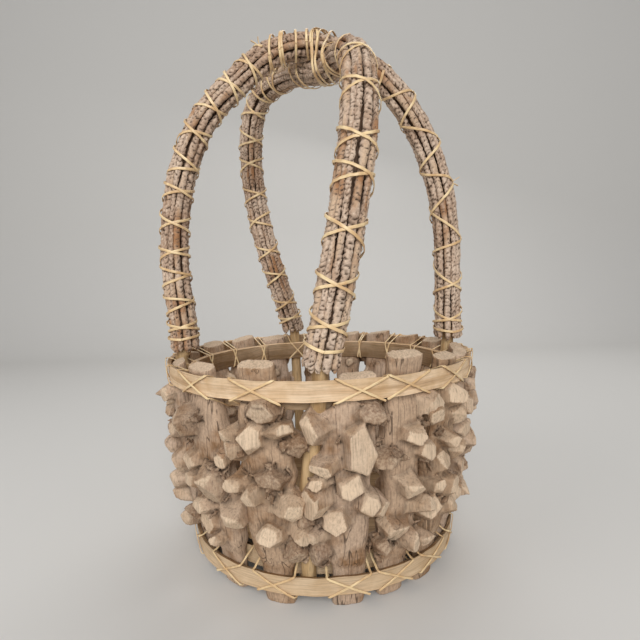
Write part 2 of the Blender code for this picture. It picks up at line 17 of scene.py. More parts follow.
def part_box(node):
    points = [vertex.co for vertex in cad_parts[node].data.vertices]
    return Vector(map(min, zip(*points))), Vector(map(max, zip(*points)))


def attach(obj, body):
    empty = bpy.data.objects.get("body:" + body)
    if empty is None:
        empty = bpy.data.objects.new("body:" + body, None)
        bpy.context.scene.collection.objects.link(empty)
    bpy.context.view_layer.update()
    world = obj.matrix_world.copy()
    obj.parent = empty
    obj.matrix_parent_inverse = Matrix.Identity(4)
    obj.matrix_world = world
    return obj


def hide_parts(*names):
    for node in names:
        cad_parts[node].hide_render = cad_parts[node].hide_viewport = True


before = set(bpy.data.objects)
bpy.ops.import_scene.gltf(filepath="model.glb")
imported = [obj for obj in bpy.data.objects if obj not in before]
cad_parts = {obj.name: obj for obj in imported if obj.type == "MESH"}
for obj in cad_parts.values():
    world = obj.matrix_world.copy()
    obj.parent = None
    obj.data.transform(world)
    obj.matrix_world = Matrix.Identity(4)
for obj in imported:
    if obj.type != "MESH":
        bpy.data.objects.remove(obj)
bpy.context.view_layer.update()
print("pieces in the frame:", len(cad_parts))

# %% [markdown]
# ## The view
# The basket was seen from a little above its rim, close enough for the front leg of the
# handle to look much thicker than the rear one. A focal length of 481 pixels on a frame of
# 640 pixels is a short lens, so the lens follows from the sensor's width.

# %% Set the camera
IMAGE_SIDE = 640
FOCAL_PIXELS = 481.0
SENSOR_WIDTH = 36.0
CAMERA_PLACE = Vector((0.0, -0.4603, 0.24915))
CAMERA_PITCH = math.radians(-4.98)
CAMERA_YAW = math.radians(0.21)
CAMERA_ROLL = math.radians(-1.72)

camera_data = bpy.data.cameras.new("view")
camera_data.sensor_width = SENSOR_WIDTH
camera_data.lens = SENSOR_WIDTH * FOCAL_PIXELS / IMAGE_SIDE
camera_data.clip_start = 0.01
camera = bpy.data.objects.new("view", camera_data)
bpy.context.scene.collection.objects.link(camera)
camera.location = CAMERA_PLACE
forward = Vector((math.sin(CAMERA_YAW) * math.cos(CAMERA_PITCH),
                  math.cos(CAMERA_YAW) * math.cos(CAMERA_PITCH), math.sin(CAMERA_PITCH)))
camera.rotation_euler = forward.to_track_quat("-Z", "Y").to_euler()
camera.rotation_euler.rotate_axis("Z", CAMERA_ROLL)
bpy.context.scene.camera = camera
print("lens", round(camera_data.lens, 1), "mm")

# %% [markdown]
# ## Helpers for nodes and colours
# Colours are written as the hex codes a picture editor shows. Shaders work with linear light,
# so one function turns a code into linear values. Another adds a node, sets it and links it,
# for materials and Geometry Nodes alike, which keeps each finish readable as a list of steps.
# The others start a material, mottle and line its tones, and finish it with a bump.

# %% Define the helpers
# The two colour inputs of a Mix node, by their numbers.
MIX_A, MIX_B = 6, 7


def colour(code):
    """The linear values of an sRGB hex colour."""
    channels = []
    for start in (0, 2, 4):
        value = int(code[start:start + 2], 16) / 255
        channels.append(value / 12.92 if value <= 0.04045 else ((value + 0.055) / 1.055) ** 2.4)
    return (*channels, 1.0)


def feed(tree, source, socket):
    """Give a socket a value, another socket, or the first live output of a node."""
    if isinstance(source, bpy.types.Node):
        source = next(output for output in source.outputs if output.enabled)
    if isinstance(source, bpy.types.NodeSocket):
        tree.links.new(source, socket)
    else:
        socket.default_value = source


def add_node(tree, kind, inputs=None, **settings):
    """Add a node with its settings, and feed its inputs."""
    node = tree.nodes.new(kind)
    for name, value in settings.items():
        setattr(node, name, value)
    for name, source in (inputs or {}).items():
        feed(tree, source, node.inputs[name])
    return node


def start_material(name, roughness, specular):
    """A new material and its tree, with the gloss set on the shader."""
    material = bpy.data.materials.new(name)
    material.use_nodes = True
    shader = material.node_tree.nodes["Principled BSDF"]
    shader.inputs["Roughness"].default_value = roughness
    shader.inputs["Specular IOR Level"].default_value = specular
    return material, material.node_tree


def mottled(tree, tone, over, pattern, low, high, most=1.0):
    """Lay one tone over another where a pattern rises from low to high."""
    share = add_node(tree, "ShaderNodeMapRange", {
        "Value": pattern, "From Min": low, "From Max": high, "To Max": most})
    return add_node(tree, "ShaderNodeMix", {
        "Factor": share, MIX_A: tone, MIX_B: over}, data_type="RGBA")


def lined(tree, tone, pattern, low, high, dark, pale):
    """Darken a tone where a pattern is low, as the lines of grain and fibres do."""
    shade = add_node(tree, "ShaderNodeMapRange", {
        "Value": pattern, "From Min": low, "From Max": high, "To Min": dark, "To Max": pale})
    return add_node(tree, "ShaderNodeVectorMath", {0: tone, "Scale": shade}, operation="SCALE")


def finish_material(material, tone, height, strength, depth):
    """Give the shader its colour and a bump, whose depth is in metres."""
    tree = material.node_tree
    shader = tree.nodes["Principled BSDF"]
    feed(tree, tone, shader.inputs["Base Color"])
    bump = add_node(tree, "ShaderNodeBump", {
        "Height": height, "Strength": strength, "Distance": depth})
    feed(tree, bump, shader.inputs["Normal"])
    print("nodes in", material.name, len(tree.nodes))


print("white is", colour("ffffff"))

# %% [markdown]
# ## Weathered stake wood
# The stakes are old shrub stems: grey beige where weather has worn them, with shade painted
# in dark brown into every hollow and crack, and paler where a knife trimmed the branch stubs.
# Pictures could be wrapped round them, but the colours follow the carving, so the meshes carry
# four numbers at each point: one for the shade painted into hollows and cracks, `cut`, `rough`,
# and `own`, which is one number for the whole stake. The material mixes its colours by them.

# %% Set the stake wood's sizes
# Distances in metres. The real flecks are finer than the render can show.
GRAIN_SPACING = 0.0014
GRAIN_STRETCH = 0.10
GRAIN_DEPTH = 0.0006
BLOTCH_SIZE = 0.022
FLECK_SIZE = 0.0022
SPLIT_SPACING = 0.011
SPLIT_STRETCH = 0.09
print("grain lines", round(GRAIN_SPACING * 1000, 1), "mm apart")

# %% [markdown]
# Each number or pattern lays one colour over the last: the stake's own tone, weathered
# blotches, trimmed faces, and bark that is left in flecks.

# %% Mix the stake wood's colours
stake_wood, tree = start_material("weathered shrub wood", 0.85, 0.25)
place = add_node(tree, "ShaderNodeTexCoord").outputs["Object"]
along = add_node(tree, "ShaderNodeMapping", {"Vector": place, "Scale": (1.0, 1.0, GRAIN_STRETCH)})
grain = add_node(tree, "ShaderNodeTexNoise", {
    "Vector": along, "Scale": 1 / GRAIN_SPACING, "Detail": 4.0, "Roughness": 0.6})
blotch = add_node(tree, "ShaderNodeTexNoise", {
    "Vector": place, "Scale": 1 / BLOTCH_SIZE, "Detail": 3.0, "Roughness": 0.6})
fleck = add_node(tree, "ShaderNodeTexNoise", {
    "Vector": place, "Scale": 1 / FLECK_SIZE, "Detail": 5.0, "Roughness": 0.65})
hollow_shade, cut, rough, own = (
    add_node(tree, "ShaderNodeAttribute", attribute_name=name).outputs["Fac"]
    for name in ("hollow_shade", "cut", "rough", "own"))
stem_tone = add_node(tree, "ShaderNodeMix", {
    "Factor": own, MIX_A: colour("c1a892"), MIX_B: colour("b39577")}, data_type="RGBA")
weather = mottled(tree, stem_tone, colour("8f6c4c"), blotch, 0.46, 0.68)
trimmed = add_node(tree, "ShaderNodeMix", {
    "Factor": cut, MIX_A: weather, MIX_B: colour("e0c7aa")}, data_type="RGBA")
bark_part = add_node(tree, "ShaderNodeMath", {
    0: rough, 1: add_node(tree, "ShaderNodeMapRange", {
        "Value": fleck, "From Min": 0.36, "From Max": 0.60})}, operation="MULTIPLY")
barked = add_node(tree, "ShaderNodeMix", {
    "Factor": bark_part, MIX_A: trimmed, MIX_B: colour("6b4f3a")}, data_type="RGBA")
print("colours mixed for", stake_wood.name)

# %% [markdown]
# Over the colours lie the lines of the grain, specks, and long drying splits. A split is the
# thin band where a slow noise passes its middle value, and it stays off the cut faces. The
# same near-black brown is painted as shade into the hollows and cracks.

# %% Add the grain and the splits
grained = lined(tree, barked, grain, 0.30, 0.52, 0.62, 1.0)
specked = lined(tree, grained, fleck, 0.30, 0.62, 0.80, 1.08)
split_noise = add_node(tree, "ShaderNodeTexNoise", {
    "Vector": add_node(tree, "ShaderNodeMapping", {
        "Vector": place, "Scale": (1.0, 1.0, SPLIT_STRETCH)}),
    "Scale": 1 / SPLIT_SPACING, "Detail": 2.0, "Distortion": 0.3})
split_line = add_node(tree, "ShaderNodeMapRange", {
    "Value": add_node(tree, "ShaderNodeMath", {
        0: add_node(tree, "ShaderNodeMath", {0: split_noise, 1: 0.5},
                    operation="SUBTRACT")}, operation="ABSOLUTE"),
    "From Min": 0.002, "From Max": 0.012, "To Min": 0.75, "To Max": 0.0})
stem_split = add_node(tree, "ShaderNodeMath", {
    0: split_line, 1: add_node(tree, "ShaderNodeMapRange", {
        "Value": cut, "From Max": 0.25, "To Min": 1.0, "To Max": 0.0})}, operation="MULTIPLY")
# Painted shade: the shade of hollows and cracks, and the splits, darken the wood to near black.
shade_and_splits = add_node(tree, "ShaderNodeMath", {0: hollow_shade, 1: stem_split}, operation="MAXIMUM")
dark = add_node(tree, "ShaderNodeMix", {
    "Factor": shade_and_splits, MIX_A: specked, MIX_B: colour("2c1e14")}, data_type="RGBA")
relief = add_node(tree, "ShaderNodeMath", {0: grain, 1: fleck}, operation="ADD")
finish_material(stake_wood, dark, relief, 0.7, GRAIN_DEPTH)

# %% [markdown]
# ## Split wood of the hoops
# A hoop is a strip riven along the grain, pale and slightly pink, with long fibres and a few
# brown streaks. The pattern has to follow the strip round its ring, so it reads the strip's
# own UV map: U runs along the strip and V across it, both in metres.

# %% Make the hoop wood
FIBRE_SPACING = 0.0011
FIBRE_STRETCH = 0.035
FIBRE_DEPTH = 0.0004
STREAK_WIDTH = 0.006
MOTTLE_SIZE = 0.018
# Heights between which the strips' darker, greyer tone fades out upwards.
DARKEST_BELOW, PLAIN_ABOVE = 0.03, 0.15

hoop_wood, tree = start_material("riven hazel strip", 0.62, 0.35)
strip = add_node(tree, "ShaderNodeUVMap", uv_map="strip")
fibres = add_node(tree, "ShaderNodeMapping", {"Vector": strip, "Scale": (FIBRE_STRETCH, 1.0, 1.0)})
fibre = add_node(tree, "ShaderNodeTexNoise", {
    "Vector": fibres, "Scale": 1 / FIBRE_SPACING, "Detail": 5.0, "Roughness": 0.62})
streak = add_node(tree, "ShaderNodeTexNoise", {
    "Vector": fibres, "Scale": 1 / STREAK_WIDTH, "Detail": 3.0, "Distortion": 0.4})
place = add_node(tree, "ShaderNodeTexCoord").outputs["Object"]
mottle = add_node(tree, "ShaderNodeTexNoise", {
    "Vector": place, "Scale": 1 / MOTTLE_SIZE, "Detail": 4.0, "Roughness": 0.6})
tone = mottled(tree, colour("e6c9a6"), colour("cdab82"), mottle, 0.35, 0.66)
streaked = mottled(tree, tone, colour("a98257"), streak, 0.52, 0.74, 0.75)
# Darker and greyer towards the bottom: half way below the lower height, none above the upper one.
low_down = add_node(tree, "ShaderNodeMapRange", {
    "Value": add_node(tree, "ShaderNodeSeparateXYZ", {"Vector": place}).outputs["Z"],
    "From Min": DARKEST_BELOW, "From Max": PLAIN_ABOVE, "To Min": 0.5, "To Max": 0.0})
darker_low = add_node(tree, "ShaderNodeMix", {
    "Factor": low_down, MIX_A: streaked, MIX_B: colour("b39a78")}, data_type="RGBA")
fibred = lined(tree, darker_low, fibre, 0.30, 0.56, 0.70, 1.03)
# Painted shade, read from the number that the stakes carry for hollows and cracks; the hoops don't
# carry it, so it stays 0 here.
edge = add_node(tree, "ShaderNodeAttribute", attribute_name="hollow_shade").outputs["Fac"]
hoop_with_painted_shade = add_node(tree, "ShaderNodeMix", {
    "Factor": edge, MIX_A: fibred, MIX_B: colour("6e4f33")}, data_type="RGBA")
finish_material(hoop_wood, hoop_with_painted_shade, fibre, 0.6, FIBRE_DEPTH)

# %% [markdown]
# ## Ringed twig bark
# The handle twigs are short shoots whose bark is a chain of rings, so a bundle looks braided.
# The sweep that makes a twig stores `ridge`, high on a ring and low between two, and `peel`
# where the bark has come off. Ridges are pale and dry; the gaps get a painted shade, nearly black.

# %% Make the twig bark
GRIT_SIZE = 0.0016
GRIT_DEPTH = 0.0006
CLOUD_SIZE = 0.030

twig_bark, tree = start_material("ringed shoot bark", 0.9, 0.2)
place = add_node(tree, "ShaderNodeTexCoord").outputs["Object"]
ridge, peel = (add_node(tree, "ShaderNodeAttribute", attribute_name=name).outputs["Fac"]
               for name in ("ridge", "peel"))
grit = add_node(tree, "ShaderNodeTexNoise", {
    "Vector": place, "Scale": 1 / GRIT_SIZE, "Detail": 4.0, "Roughness": 0.7})
cloud = add_node(tree, "ShaderNodeTexNoise", {
    "Vector": place, "Scale": 1 / CLOUD_SIZE, "Detail": 3.0, "Roughness": 0.6})
bark_tone = mottled(tree, colour("d3bca7"), colour("b3967f"), cloud, 0.36, 0.64)
# Painted shade: the gaps between the rings are mixed towards nearly black.
low = add_node(tree, "ShaderNodeMapRange", {
    "Value": ridge, "From Min": 0.06, "From Max": 0.40}, interpolation_type="SMOOTHSTEP")
gap_shade_painted = add_node(tree, "ShaderNodeMix", {
    "Factor": low, MIX_A: colour("463426"), MIX_B: bark_tone}, data_type="RGBA")
high = add_node(tree, "ShaderNodeMapRange", {
    "Value": ridge, "From Min": 0.45, "From Max": 0.85}, interpolation_type="SMOOTHSTEP")
worn_top = add_node(tree, "ShaderNodeMath", {
    0: high, 1: add_node(tree, "ShaderNodeMapRange", {
        "Value": grit, "From Min": 0.34, "From Max": 0.60,
        "To Min": 0.35})}, operation="MULTIPLY")
ridged = add_node(tree, "ShaderNodeMix", {
    "Factor": worn_top, MIX_A: gap_shade_painted, MIX_B: colour("e0ccb6")}, data_type="RGBA")
bare_tone = mottled(tree, colour("ccb094"), colour("a67a56"), cloud, 0.46, 0.60)
peeled = add_node(tree, "ShaderNodeMix", {
    "Factor": add_node(tree, "ShaderNodeMath", {
        0: peel, 1: low}, operation="MULTIPLY"),
    MIX_A: ridged, MIX_B: bare_tone}, data_type="RGBA")
gritty = lined(tree, peeled, grit, 0.3, 0.65, 0.72, 1.06)
finish_material(twig_bark, gritty, grit, 0.8, GRIT_DEPTH)

# %% [markdown]
# ## Split cane
# The lashings are thin flat cane with its skin left on, straw yellow and a little glossy.
# Fine fibres run along each strip. The sweep stores how far along and how far across the
# strip each point is, so the fibres turn with it.

# %% Make the cane
CANE_FIBRE_SPACING = 0.0005
CANE_FIBRE_STRETCH = 0.05
CANE_FIBRE_DEPTH = 0.0002
CANE_PATCH_SIZE = 0.012

cane_skin, tree = start_material("split rattan cane", 0.42, 0.5)
strip = add_node(tree, "ShaderNodeAttribute", attribute_name="strip").outputs["Vector"]
fibres = add_node(tree, "ShaderNodeMapping", {
    "Vector": strip, "Scale": (CANE_FIBRE_STRETCH, 1.0, 1.0)})
fibre = add_node(tree, "ShaderNodeTexNoise", {
    "Vector": fibres, "Scale": 1 / CANE_FIBRE_SPACING, "Detail": 3.0, "Roughness": 0.6})
patchy = add_node(tree, "ShaderNodeTexNoise", {
    "Vector": add_node(tree, "ShaderNodeTexCoord").outputs["Object"],
    "Scale": 1 / CANE_PATCH_SIZE, "Detail": 3.0})
straw = mottled(tree, colour("ecd2a4"), colour("d0ab7c"), patchy, 0.36, 0.64)
fibred = lined(tree, straw, fibre, 0.30, 0.56, 0.76, 1.03)
finish_material(cane_skin, fibred, fibre, 0.4, CANE_FIBRE_DEPTH)

# %% [markdown]
# ## Peeled sticks and the floor board
# The core of each handle is a peeled stick, golden brown, that runs down in the wall. The
# floor is a sawn board. Both are plain wood with lengthwise grain, so one loop makes the two
# with their own colours, grain spacing and direction of stretch. Inside the twigs, above the
# rim, the stick is painted dark brown as the shade that lies there.

# %% Make the two plain woods
PLAIN_GRAIN_DEPTH = 0.0004
# Heights between which the peeled stick passes into the dark brown of painted shade.
CORE_SHADE_START, CORE_SHADE_FULL = 0.186, 0.205

plain_woods = {}
for name, pale, dark_tone, spacing, stretch in (
        ("peeled willow stick", "c9ab80", "a3835a", 0.0012, (1.0, 1.0, 0.06)),
        ("sawn pine board", "b99a72", "8a6a48", 0.0022, (0.05, 1.0, 1.0))):
    wood, tree = start_material(name, 0.72, 0.35)
    place = add_node(tree, "ShaderNodeTexCoord").outputs["Object"]
    turned = add_node(tree, "ShaderNodeMapping", {"Vector": place, "Scale": stretch})
    grain = add_node(tree, "ShaderNodeTexNoise", {
        "Vector": turned, "Scale": 1 / spacing, "Detail": 5.0, "Roughness": 0.6})
    band = add_node(tree, "ShaderNodeTexNoise", {
        "Vector": turned, "Scale": 0.12 / spacing, "Detail": 2.0, "Distortion": 0.6})
    banded = mottled(tree, colour(pale), colour(dark_tone), band, 0.38, 0.62)
    height = add_node(tree, "ShaderNodeSeparateXYZ", {"Vector": place}).outputs["Z"]
    # Painted shade: above the handles' feet the stick is mixed to dark brown, as the shade inside
    # the bundle.
    barked = mottled(tree, banded, colour("5e4634"), height, CORE_SHADE_START, CORE_SHADE_FULL)
    grained = lined(tree, barked, grain, 0.32, 0.56, 0.66, 1.04)
    finish_material(wood, grained, grain, 0.5, PLAIN_GRAIN_DEPTH)
    plain_woods[name] = wood
print("plain woods:", ", ".join(plain_woods))

# %% [markdown]
# ## The shape of the wall
# Everything in the wall is placed by an angle from the front, a radius and a height. The wall
# leans outwards: its outer face goes from the lower hoop's radius to the upper one's.

# %% Repeat the wall's sizes
RIM_RADIUS = 0.140
RIM_TOP = 0.180
RIM_WIDTH = 0.016
RIM_INNER_TOP = 0.1726
RIM_INNER_WIDTH = 0.0185
BASE_RADIUS = 0.122
BASE_BOTTOM = 0.012
BASE_WIDTH = 0.0155
BASE_INNER_BOTTOM = 0.0195
BASE_INNER_WIDTH = 0.0165
HOOP_THICKNESS = 0.004
SLOT_WIDTH = 0.0124
RIM_MIDDLE = RIM_TOP - RIM_WIDTH / 2
BASE_MIDDLE = BASE_BOTTOM + BASE_WIDTH / 2
WALL_SLOPE = (RIM_RADIUS - BASE_RADIUS) / (RIM_MIDDLE - BASE_MIDDLE)


def wall_radius(height):
    """Radius of the wall's outer face at a height."""
    return BASE_RADIUS + WALL_SLOPE * (height - BASE_MIDDLE)


def polar(angle, radius, height):
    """A place by its angle from the front in degrees, its radius and its height."""
    turn = math.radians(angle)
    return Vector((radius * math.sin(turn), -radius * math.cos(turn), height))


def smooth(value):
    """An even start and an even stop between 0 and 1."""
    value = min(max(value, 0.0), 1.0)
    return value * value * (3 - 2 * value)


print("the wall leans", round(math.degrees(math.atan(WALL_SLOPE)), 1), "degrees")

# %% [markdown]
# ## Keeping pieces tidy
# A piece is stored as a mesh whose object sits at the origin. `keep_piece` gives it its
# material, hides the frame's nodes that it stands for, and hangs it on the one rigid body.
# `settle` runs an object's modifiers and keeps the plain result.

# %% Define how a piece is kept
pieces = []


def keep_piece(item, material, slot, *nodes):
    """Finish one visible piece."""
    item.data.materials.clear()
    item.data.materials.append(material)
    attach(item, "root")
    if nodes:
        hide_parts(*nodes)
    pieces.append(item)
    return item


def new_object(name, mesh):
    """A mesh as an object of the scene, at the origin."""
    item = bpy.data.objects.new(name, mesh)
    bpy.context.scene.collection.objects.link(item)
    return item


def settle(item):
    """Replace an object's mesh by what its modifiers make of it."""
    graph = bpy.context.evaluated_depsgraph_get()
    graph.update()
    result = bpy.data.meshes.new_from_object(item.evaluated_get(graph))
    item.modifiers.clear()
    item.data = result
    result.name = item.name
    return item


print("ready to keep pieces")

# %% [markdown]
# ## Hoops
# Each hoop is one long strip bent into a ring, with its two ends pared thin and lapped. A
# closed ring would be easier to make, but the lap shows on the right of the rim. The section
# is a rounded bar, and it wanders a little up and down because a riven strip is never true.

# %% Define the hoop builder
HOOP_STEPS = 300
HOOP_CORNER = 0.0008
CORNER_STEPS, CORNER_TURN = 4, 30
# Wander up and down, and in and out, in metres, and of the width as a share.
HOOP_WAVE, HOOP_SWELL, WIDTH_WAVE = 0.0006, 0.0005, 0.03
# Radius of the circle on which the noise is read, so that it closes: larger is livelier.
NOISE_CIRCLE = 6.0
# In the lap an end loses this share of its thickness and of its width, and moves inwards.
LAP_THINNING, LAP_NARROWING, LAP_SHIFT = 0.74, 0.12, 0.72


def hoop_section(thickness, width):
    """Points round a bar with rounded corners, as inwards and upwards distances."""
    points = []
    corner = min(HOOP_CORNER, thickness * 0.45)
    for middle_x, middle_y, first in ((corner, corner, 180), (corner, width - corner, 90),
                                      (thickness - corner, width - corner, 0),
                                      (thickness - corner, corner, -90)):
        for step in range(CORNER_STEPS):
            turn = math.radians(first - CORNER_TURN * step)
            points.append((middle_x + corner * math.cos(turn), middle_y + corner * math.sin(turn)))
    return points


def make_hoop(name, bottom, width, inset, start, lap, seed):
    """A lapped strip whose outer face lies `inset` inside the wall's outer face."""
    mesh = bmesh.new()
    layer = mesh.loops.layers.uv.new("strip")
    rows = []
    total = 360.0 + lap
    for step in range(HOOP_STEPS + 1):
        turn = total * step / HOOP_STEPS
        under = smooth(1.0 - turn / lap)
        over = smooth((turn - 360.0) / lap)
        thickness = HOOP_THICKNESS * (1.0 - LAP_THINNING * max(under, over))
        shift = HOOP_THICKNESS * LAP_SHIFT * under
        angle = start + turn
        spot = polar(angle, NOISE_CIRCLE, 0.0)
        wave = HOOP_WAVE * noise.noise(spot + Vector((0.0, 0.0, seed)))
        swell = HOOP_SWELL * noise.noise(spot * 1.7 + Vector((0.0, 0.0, seed + 9.0)))
        here_width = width * (1.0 + WIDTH_WAVE * noise.noise(spot + Vector((5.0, seed, 0.0)))
                              - LAP_NARROWING * max(under, over) ** 4)
        row = []
        for inwards, up in hoop_section(thickness, here_width):
            height = bottom + up + wave
            radius = wall_radius(height) - inset - inwards - shift + swell
            row.append((mesh.verts.new(polar(angle, radius, height)), inwards, up))
        rows.append((row, math.radians(turn) * RIM_RADIUS))
    count = len(rows[0][0])
    for (lower, u_low), (upper, u_high) in zip(rows, rows[1:]):
        for i in range(count):
            j = (i + 1) % count
            face = mesh.faces.new((lower[i][0], lower[j][0], upper[j][0], upper[i][0]))
            across = [lower[i], lower[j], upper[j], upper[i]]
            for loop, (_, inwards, up), u in zip(face.loops, across,
                                                 (u_low, u_low, u_high, u_high)):
                loop[layer].uv = (u + seed, up + inwards * 1.5)
    mesh.faces.new([vert for vert, _, _ in reversed(rows[0][0])])
    mesh.faces.new([vert for vert, _, _ in rows[-1][0]])
    bmesh.ops.recalc_face_normals(mesh, faces=mesh.faces[:])
    data = bpy.data.meshes.new(name)
    mesh.to_mesh(data)
    mesh.free()
    data.shade_smooth()
    return new_object(name, data)


# %% [markdown]
# The builder runs four times: an outer and an inner strip at the rim and at the base. Each
# lap starts at its own angle, where the picture shows it or where it would be out of sight.

# %% Make the four hoops
LAP = 14.0

for name, bottom, width, inset, start, seed in (
        ("rim_outer_strip", RIM_TOP - RIM_WIDTH, RIM_WIDTH, 0.0, 66.0, 1.0),
        ("rim_inner_strip", RIM_INNER_TOP - RIM_INNER_WIDTH, RIM_INNER_WIDTH,
         HOOP_THICKNESS + SLOT_WIDTH, 210.0, 2.0),
        ("base_outer_strip", BASE_BOTTOM, BASE_WIDTH, 0.0, 62.0, 3.0),
        ("base_inner_strip", BASE_INNER_BOTTOM, BASE_INNER_WIDTH,
         HOOP_THICKNESS + SLOT_WIDTH, 150.0, 4.0)):
    hoop = make_hoop(name, bottom, width, inset, start, LAP, seed)
    side, place_word = name.split("_")[:2]
    keep_piece(hoop, hoop_wood, "split_wood", f"{side}_hoop_{place_word}")
    print(name, len(hoop.data.polygons), "faces")

# %% [markdown]
# ## Stakes
# Each stake is a shrub stem as broad as a hand's two fingers, with the stubs of its cut
# branches left on. A stem and its stubs are first made as separate closed forms that run into
# each other: a lofted stem, and for each stub the convex hull of a few points, which gives
# flat facets like those of a knife. A voxel remesh then turns them into one skin.

# %% List the stakes
# Top angle, foot angle, top height and foot height in millimetres, and how far the stem
# spreads to its left and right at half height, in degrees.
STAKES = (
    (11.5, 8.5, 182.9, 0.0, 9.5, 7.3), (27.7, 26.5, 196.0, 1.4, 7.3, 8.8),
    (48.5, 46.0, 188.8, 0.0, 8.8, 8.8), (68.0, 67.0, 185.6, 3.2, 8.8, 8.2),
    (86.5, 86.5, 183.2, 0.0, 8.2, 8.5), (112.0, 111.0, 183.2, 2.0, 8.5, 8.0),
    (130.0, 130.0, 184.0, 0.0, 8.0, 7.3), (147.5, 147.0, 185.6, 2.8, 7.3, 7.2),
    (164.5, 164.0, 183.2, 0.0, 7.2, 7.1), (181.0, 181.0, 181.9, 2.4, 7.1, 8.0),
    (205.0, 205.0, 181.9, 0.0, 8.0, 7.6), (222.5, 223.0, 184.8, 2.0, 7.6, 8.6),
    (242.0, 243.0, 184.0, 0.0, 8.6, 8.4), (261.5, 262.5, 182.6, 3.2, 8.4, 9.0),
    (288.5, 289.5, 182.6, 0.0, 10.0, 10.0), (316.0, 319.0, 187.2, 2.4, 10.0, 10.0),
    (340.0, 341.5, 192.8, 0.0, 10.0, 10.0),
)
# Stubs seen on the front stakes: degrees from the stake's own middle, height, width and
# tallness in millimetres, and kind: cut, faceted, smooth, bark, or a broad barked knot.
FRONT_STUBS = {
    1: ((-14.0, 77, 9, 14, "bark"), (-13.0, 146, 19, 20, "facet"), (-12.5, 91, 19, 23, "facet"),
        (-10.6, 106, 12, 11, "facet"), (-9.5, 118, 17, 15, "cut"), (-6.1, 76, 20, 17, "cut"),
        (-1.8, 103, 20, 18, "facet"), (0.6, 129, 22, 30, "cut"), (3.6, 89, 15, 17, "facet"),
        (3.7, 155, 17, 12, "bark"), (7.1, 84, 15, 15, "facet"), (-12.0, 63, 12, 11, "facet"),
        (-11.0, 49, 12, 16, "bark")),
    2: ((-7.9, 121, 19, 12, "bark"), (-6.8, 50, 15, 12, "bark"), (-3.1, 62, 21, 16, "facet"),
        (1.0, 96, 21, 16, "facet"), (1.5, 135, 17, 17, "facet"), (7.0, 120, 16, 16, "facet"),
        (6.5, 76, 16, 15, "facet")),
    3: ((-9.2, 146, 16, 14, "facet"), (-8.2, 71, 18, 18, "cut"), (-4.2, 105, 17, 16, "facet"),
        (-2.6, 124, 13, 13, "facet"), (1.9, 80, 14, 17, "facet"), (4.5, 140, 16, 15, "facet"),
        (6.0, 110, 16, 16, "facet"), (6.0, 60, 15, 14, "facet")),
    16: ((-8.5, 90, 15, 12, "facet"), (-6.5, 109, 17, 15, "facet"), (-3.4, 58, 17, 16, "cut"),
         (-2.0, 75, 17, 12, "facet"), (-5.0, 142, 27, 19, "knot"), (1.0, 47, 11, 10, "facet"),
         (3.4, 96, 23, 27, "knot"), (10.1, 74, 21, 16, "facet")),
    17: ((-8.1, 128, 15, 15, "facet"), (-8.3, 139, 11, 10, "facet"), (-7.6, 102, 14, 13, "facet"),
         (-2.4, 96, 14, 15, "facet"), (-1.6, 138, 19, 21, "facet"), (1.4, 63, 18, 15, "facet"),
         (2.6, 158, 23, 16, "knot"), (3.5, 108, 22, 14, "bark"), (7.0, 144, 18, 12, "smooth"),
         (8.5, 88, 20, 17, "smooth"), (11.0, 67, 14, 11, "facet"), (11.1, 133, 15, 15, "bark"),
         (9.0, 50, 14, 14, "bark")),
}
print("stubs listed:", sum(len(stubs) for stubs in FRONT_STUBS.values()))

# %% [markdown]
# The stem is lofted from level rings. Near the hoops it is pressed flat into their slot, and
# between them it swells. A slow noise makes its two edges wander, as a grown stem does.

# %% Define the stem
SLOT_EASE = 0.0004
END_HALF_ANGLE = 6.4
SWELL_OUT = 0.0050
SWELL_IN = 0.0035
SPREAD_LOW = 0.034
SPREAD_HIGH = 0.161
SPREAD_POWER = 0.38
SPREAD_FILL = 0.94
# How much a stem's reach and thickness wander, and how often in a metre.
STEM_WANDER, WANDER_PITCH = 0.34, 52.0
EDGE_WANDER, EDGE_PITCH = 0.10, 70.0
# The section lies between a circle, at 1, and a square, at 0.
SQUARENESS = 0.6
# A sawn top falls by its slant, and its face is looked for within its depth.
TOP_SLANT = 0.0056
TOP_DEPTH = 0.0075
# Stakes whose tops were sawn on a slant that falls outwards, towards the front.
FRONT_TOPS = (1, 2, 3, 15, 16, 17)
STEM_SIDES = 20
STEM_LEVELS = 40
# Where a front stem is broader to its left: height, reach along the stem and degrees.
SHOULDERS = {1: (0.148, 0.024, 4.6), 16: (0.085, 0.030, 2.0), 2: (0.150, 0.020, 1.5)}


def stem_angle(stake, height):
    """The angle of a stake's middle at a height: most stakes lean a little."""
    top_angle, foot_angle, top, foot = stake[:4]
    return foot_angle + (top_angle - foot_angle) * (height * 1000 - foot) / (top - foot)


def stem_spread(height):
    """How far a stem has swelled at a height: 0 in the hoops and 1 half way."""
    share = (height - SPREAD_LOW) / (SPREAD_HIGH - SPREAD_LOW)
    return max(math.sin(math.pi * min(max(share, 0.0), 1.0)), 0.0) ** SPREAD_POWER


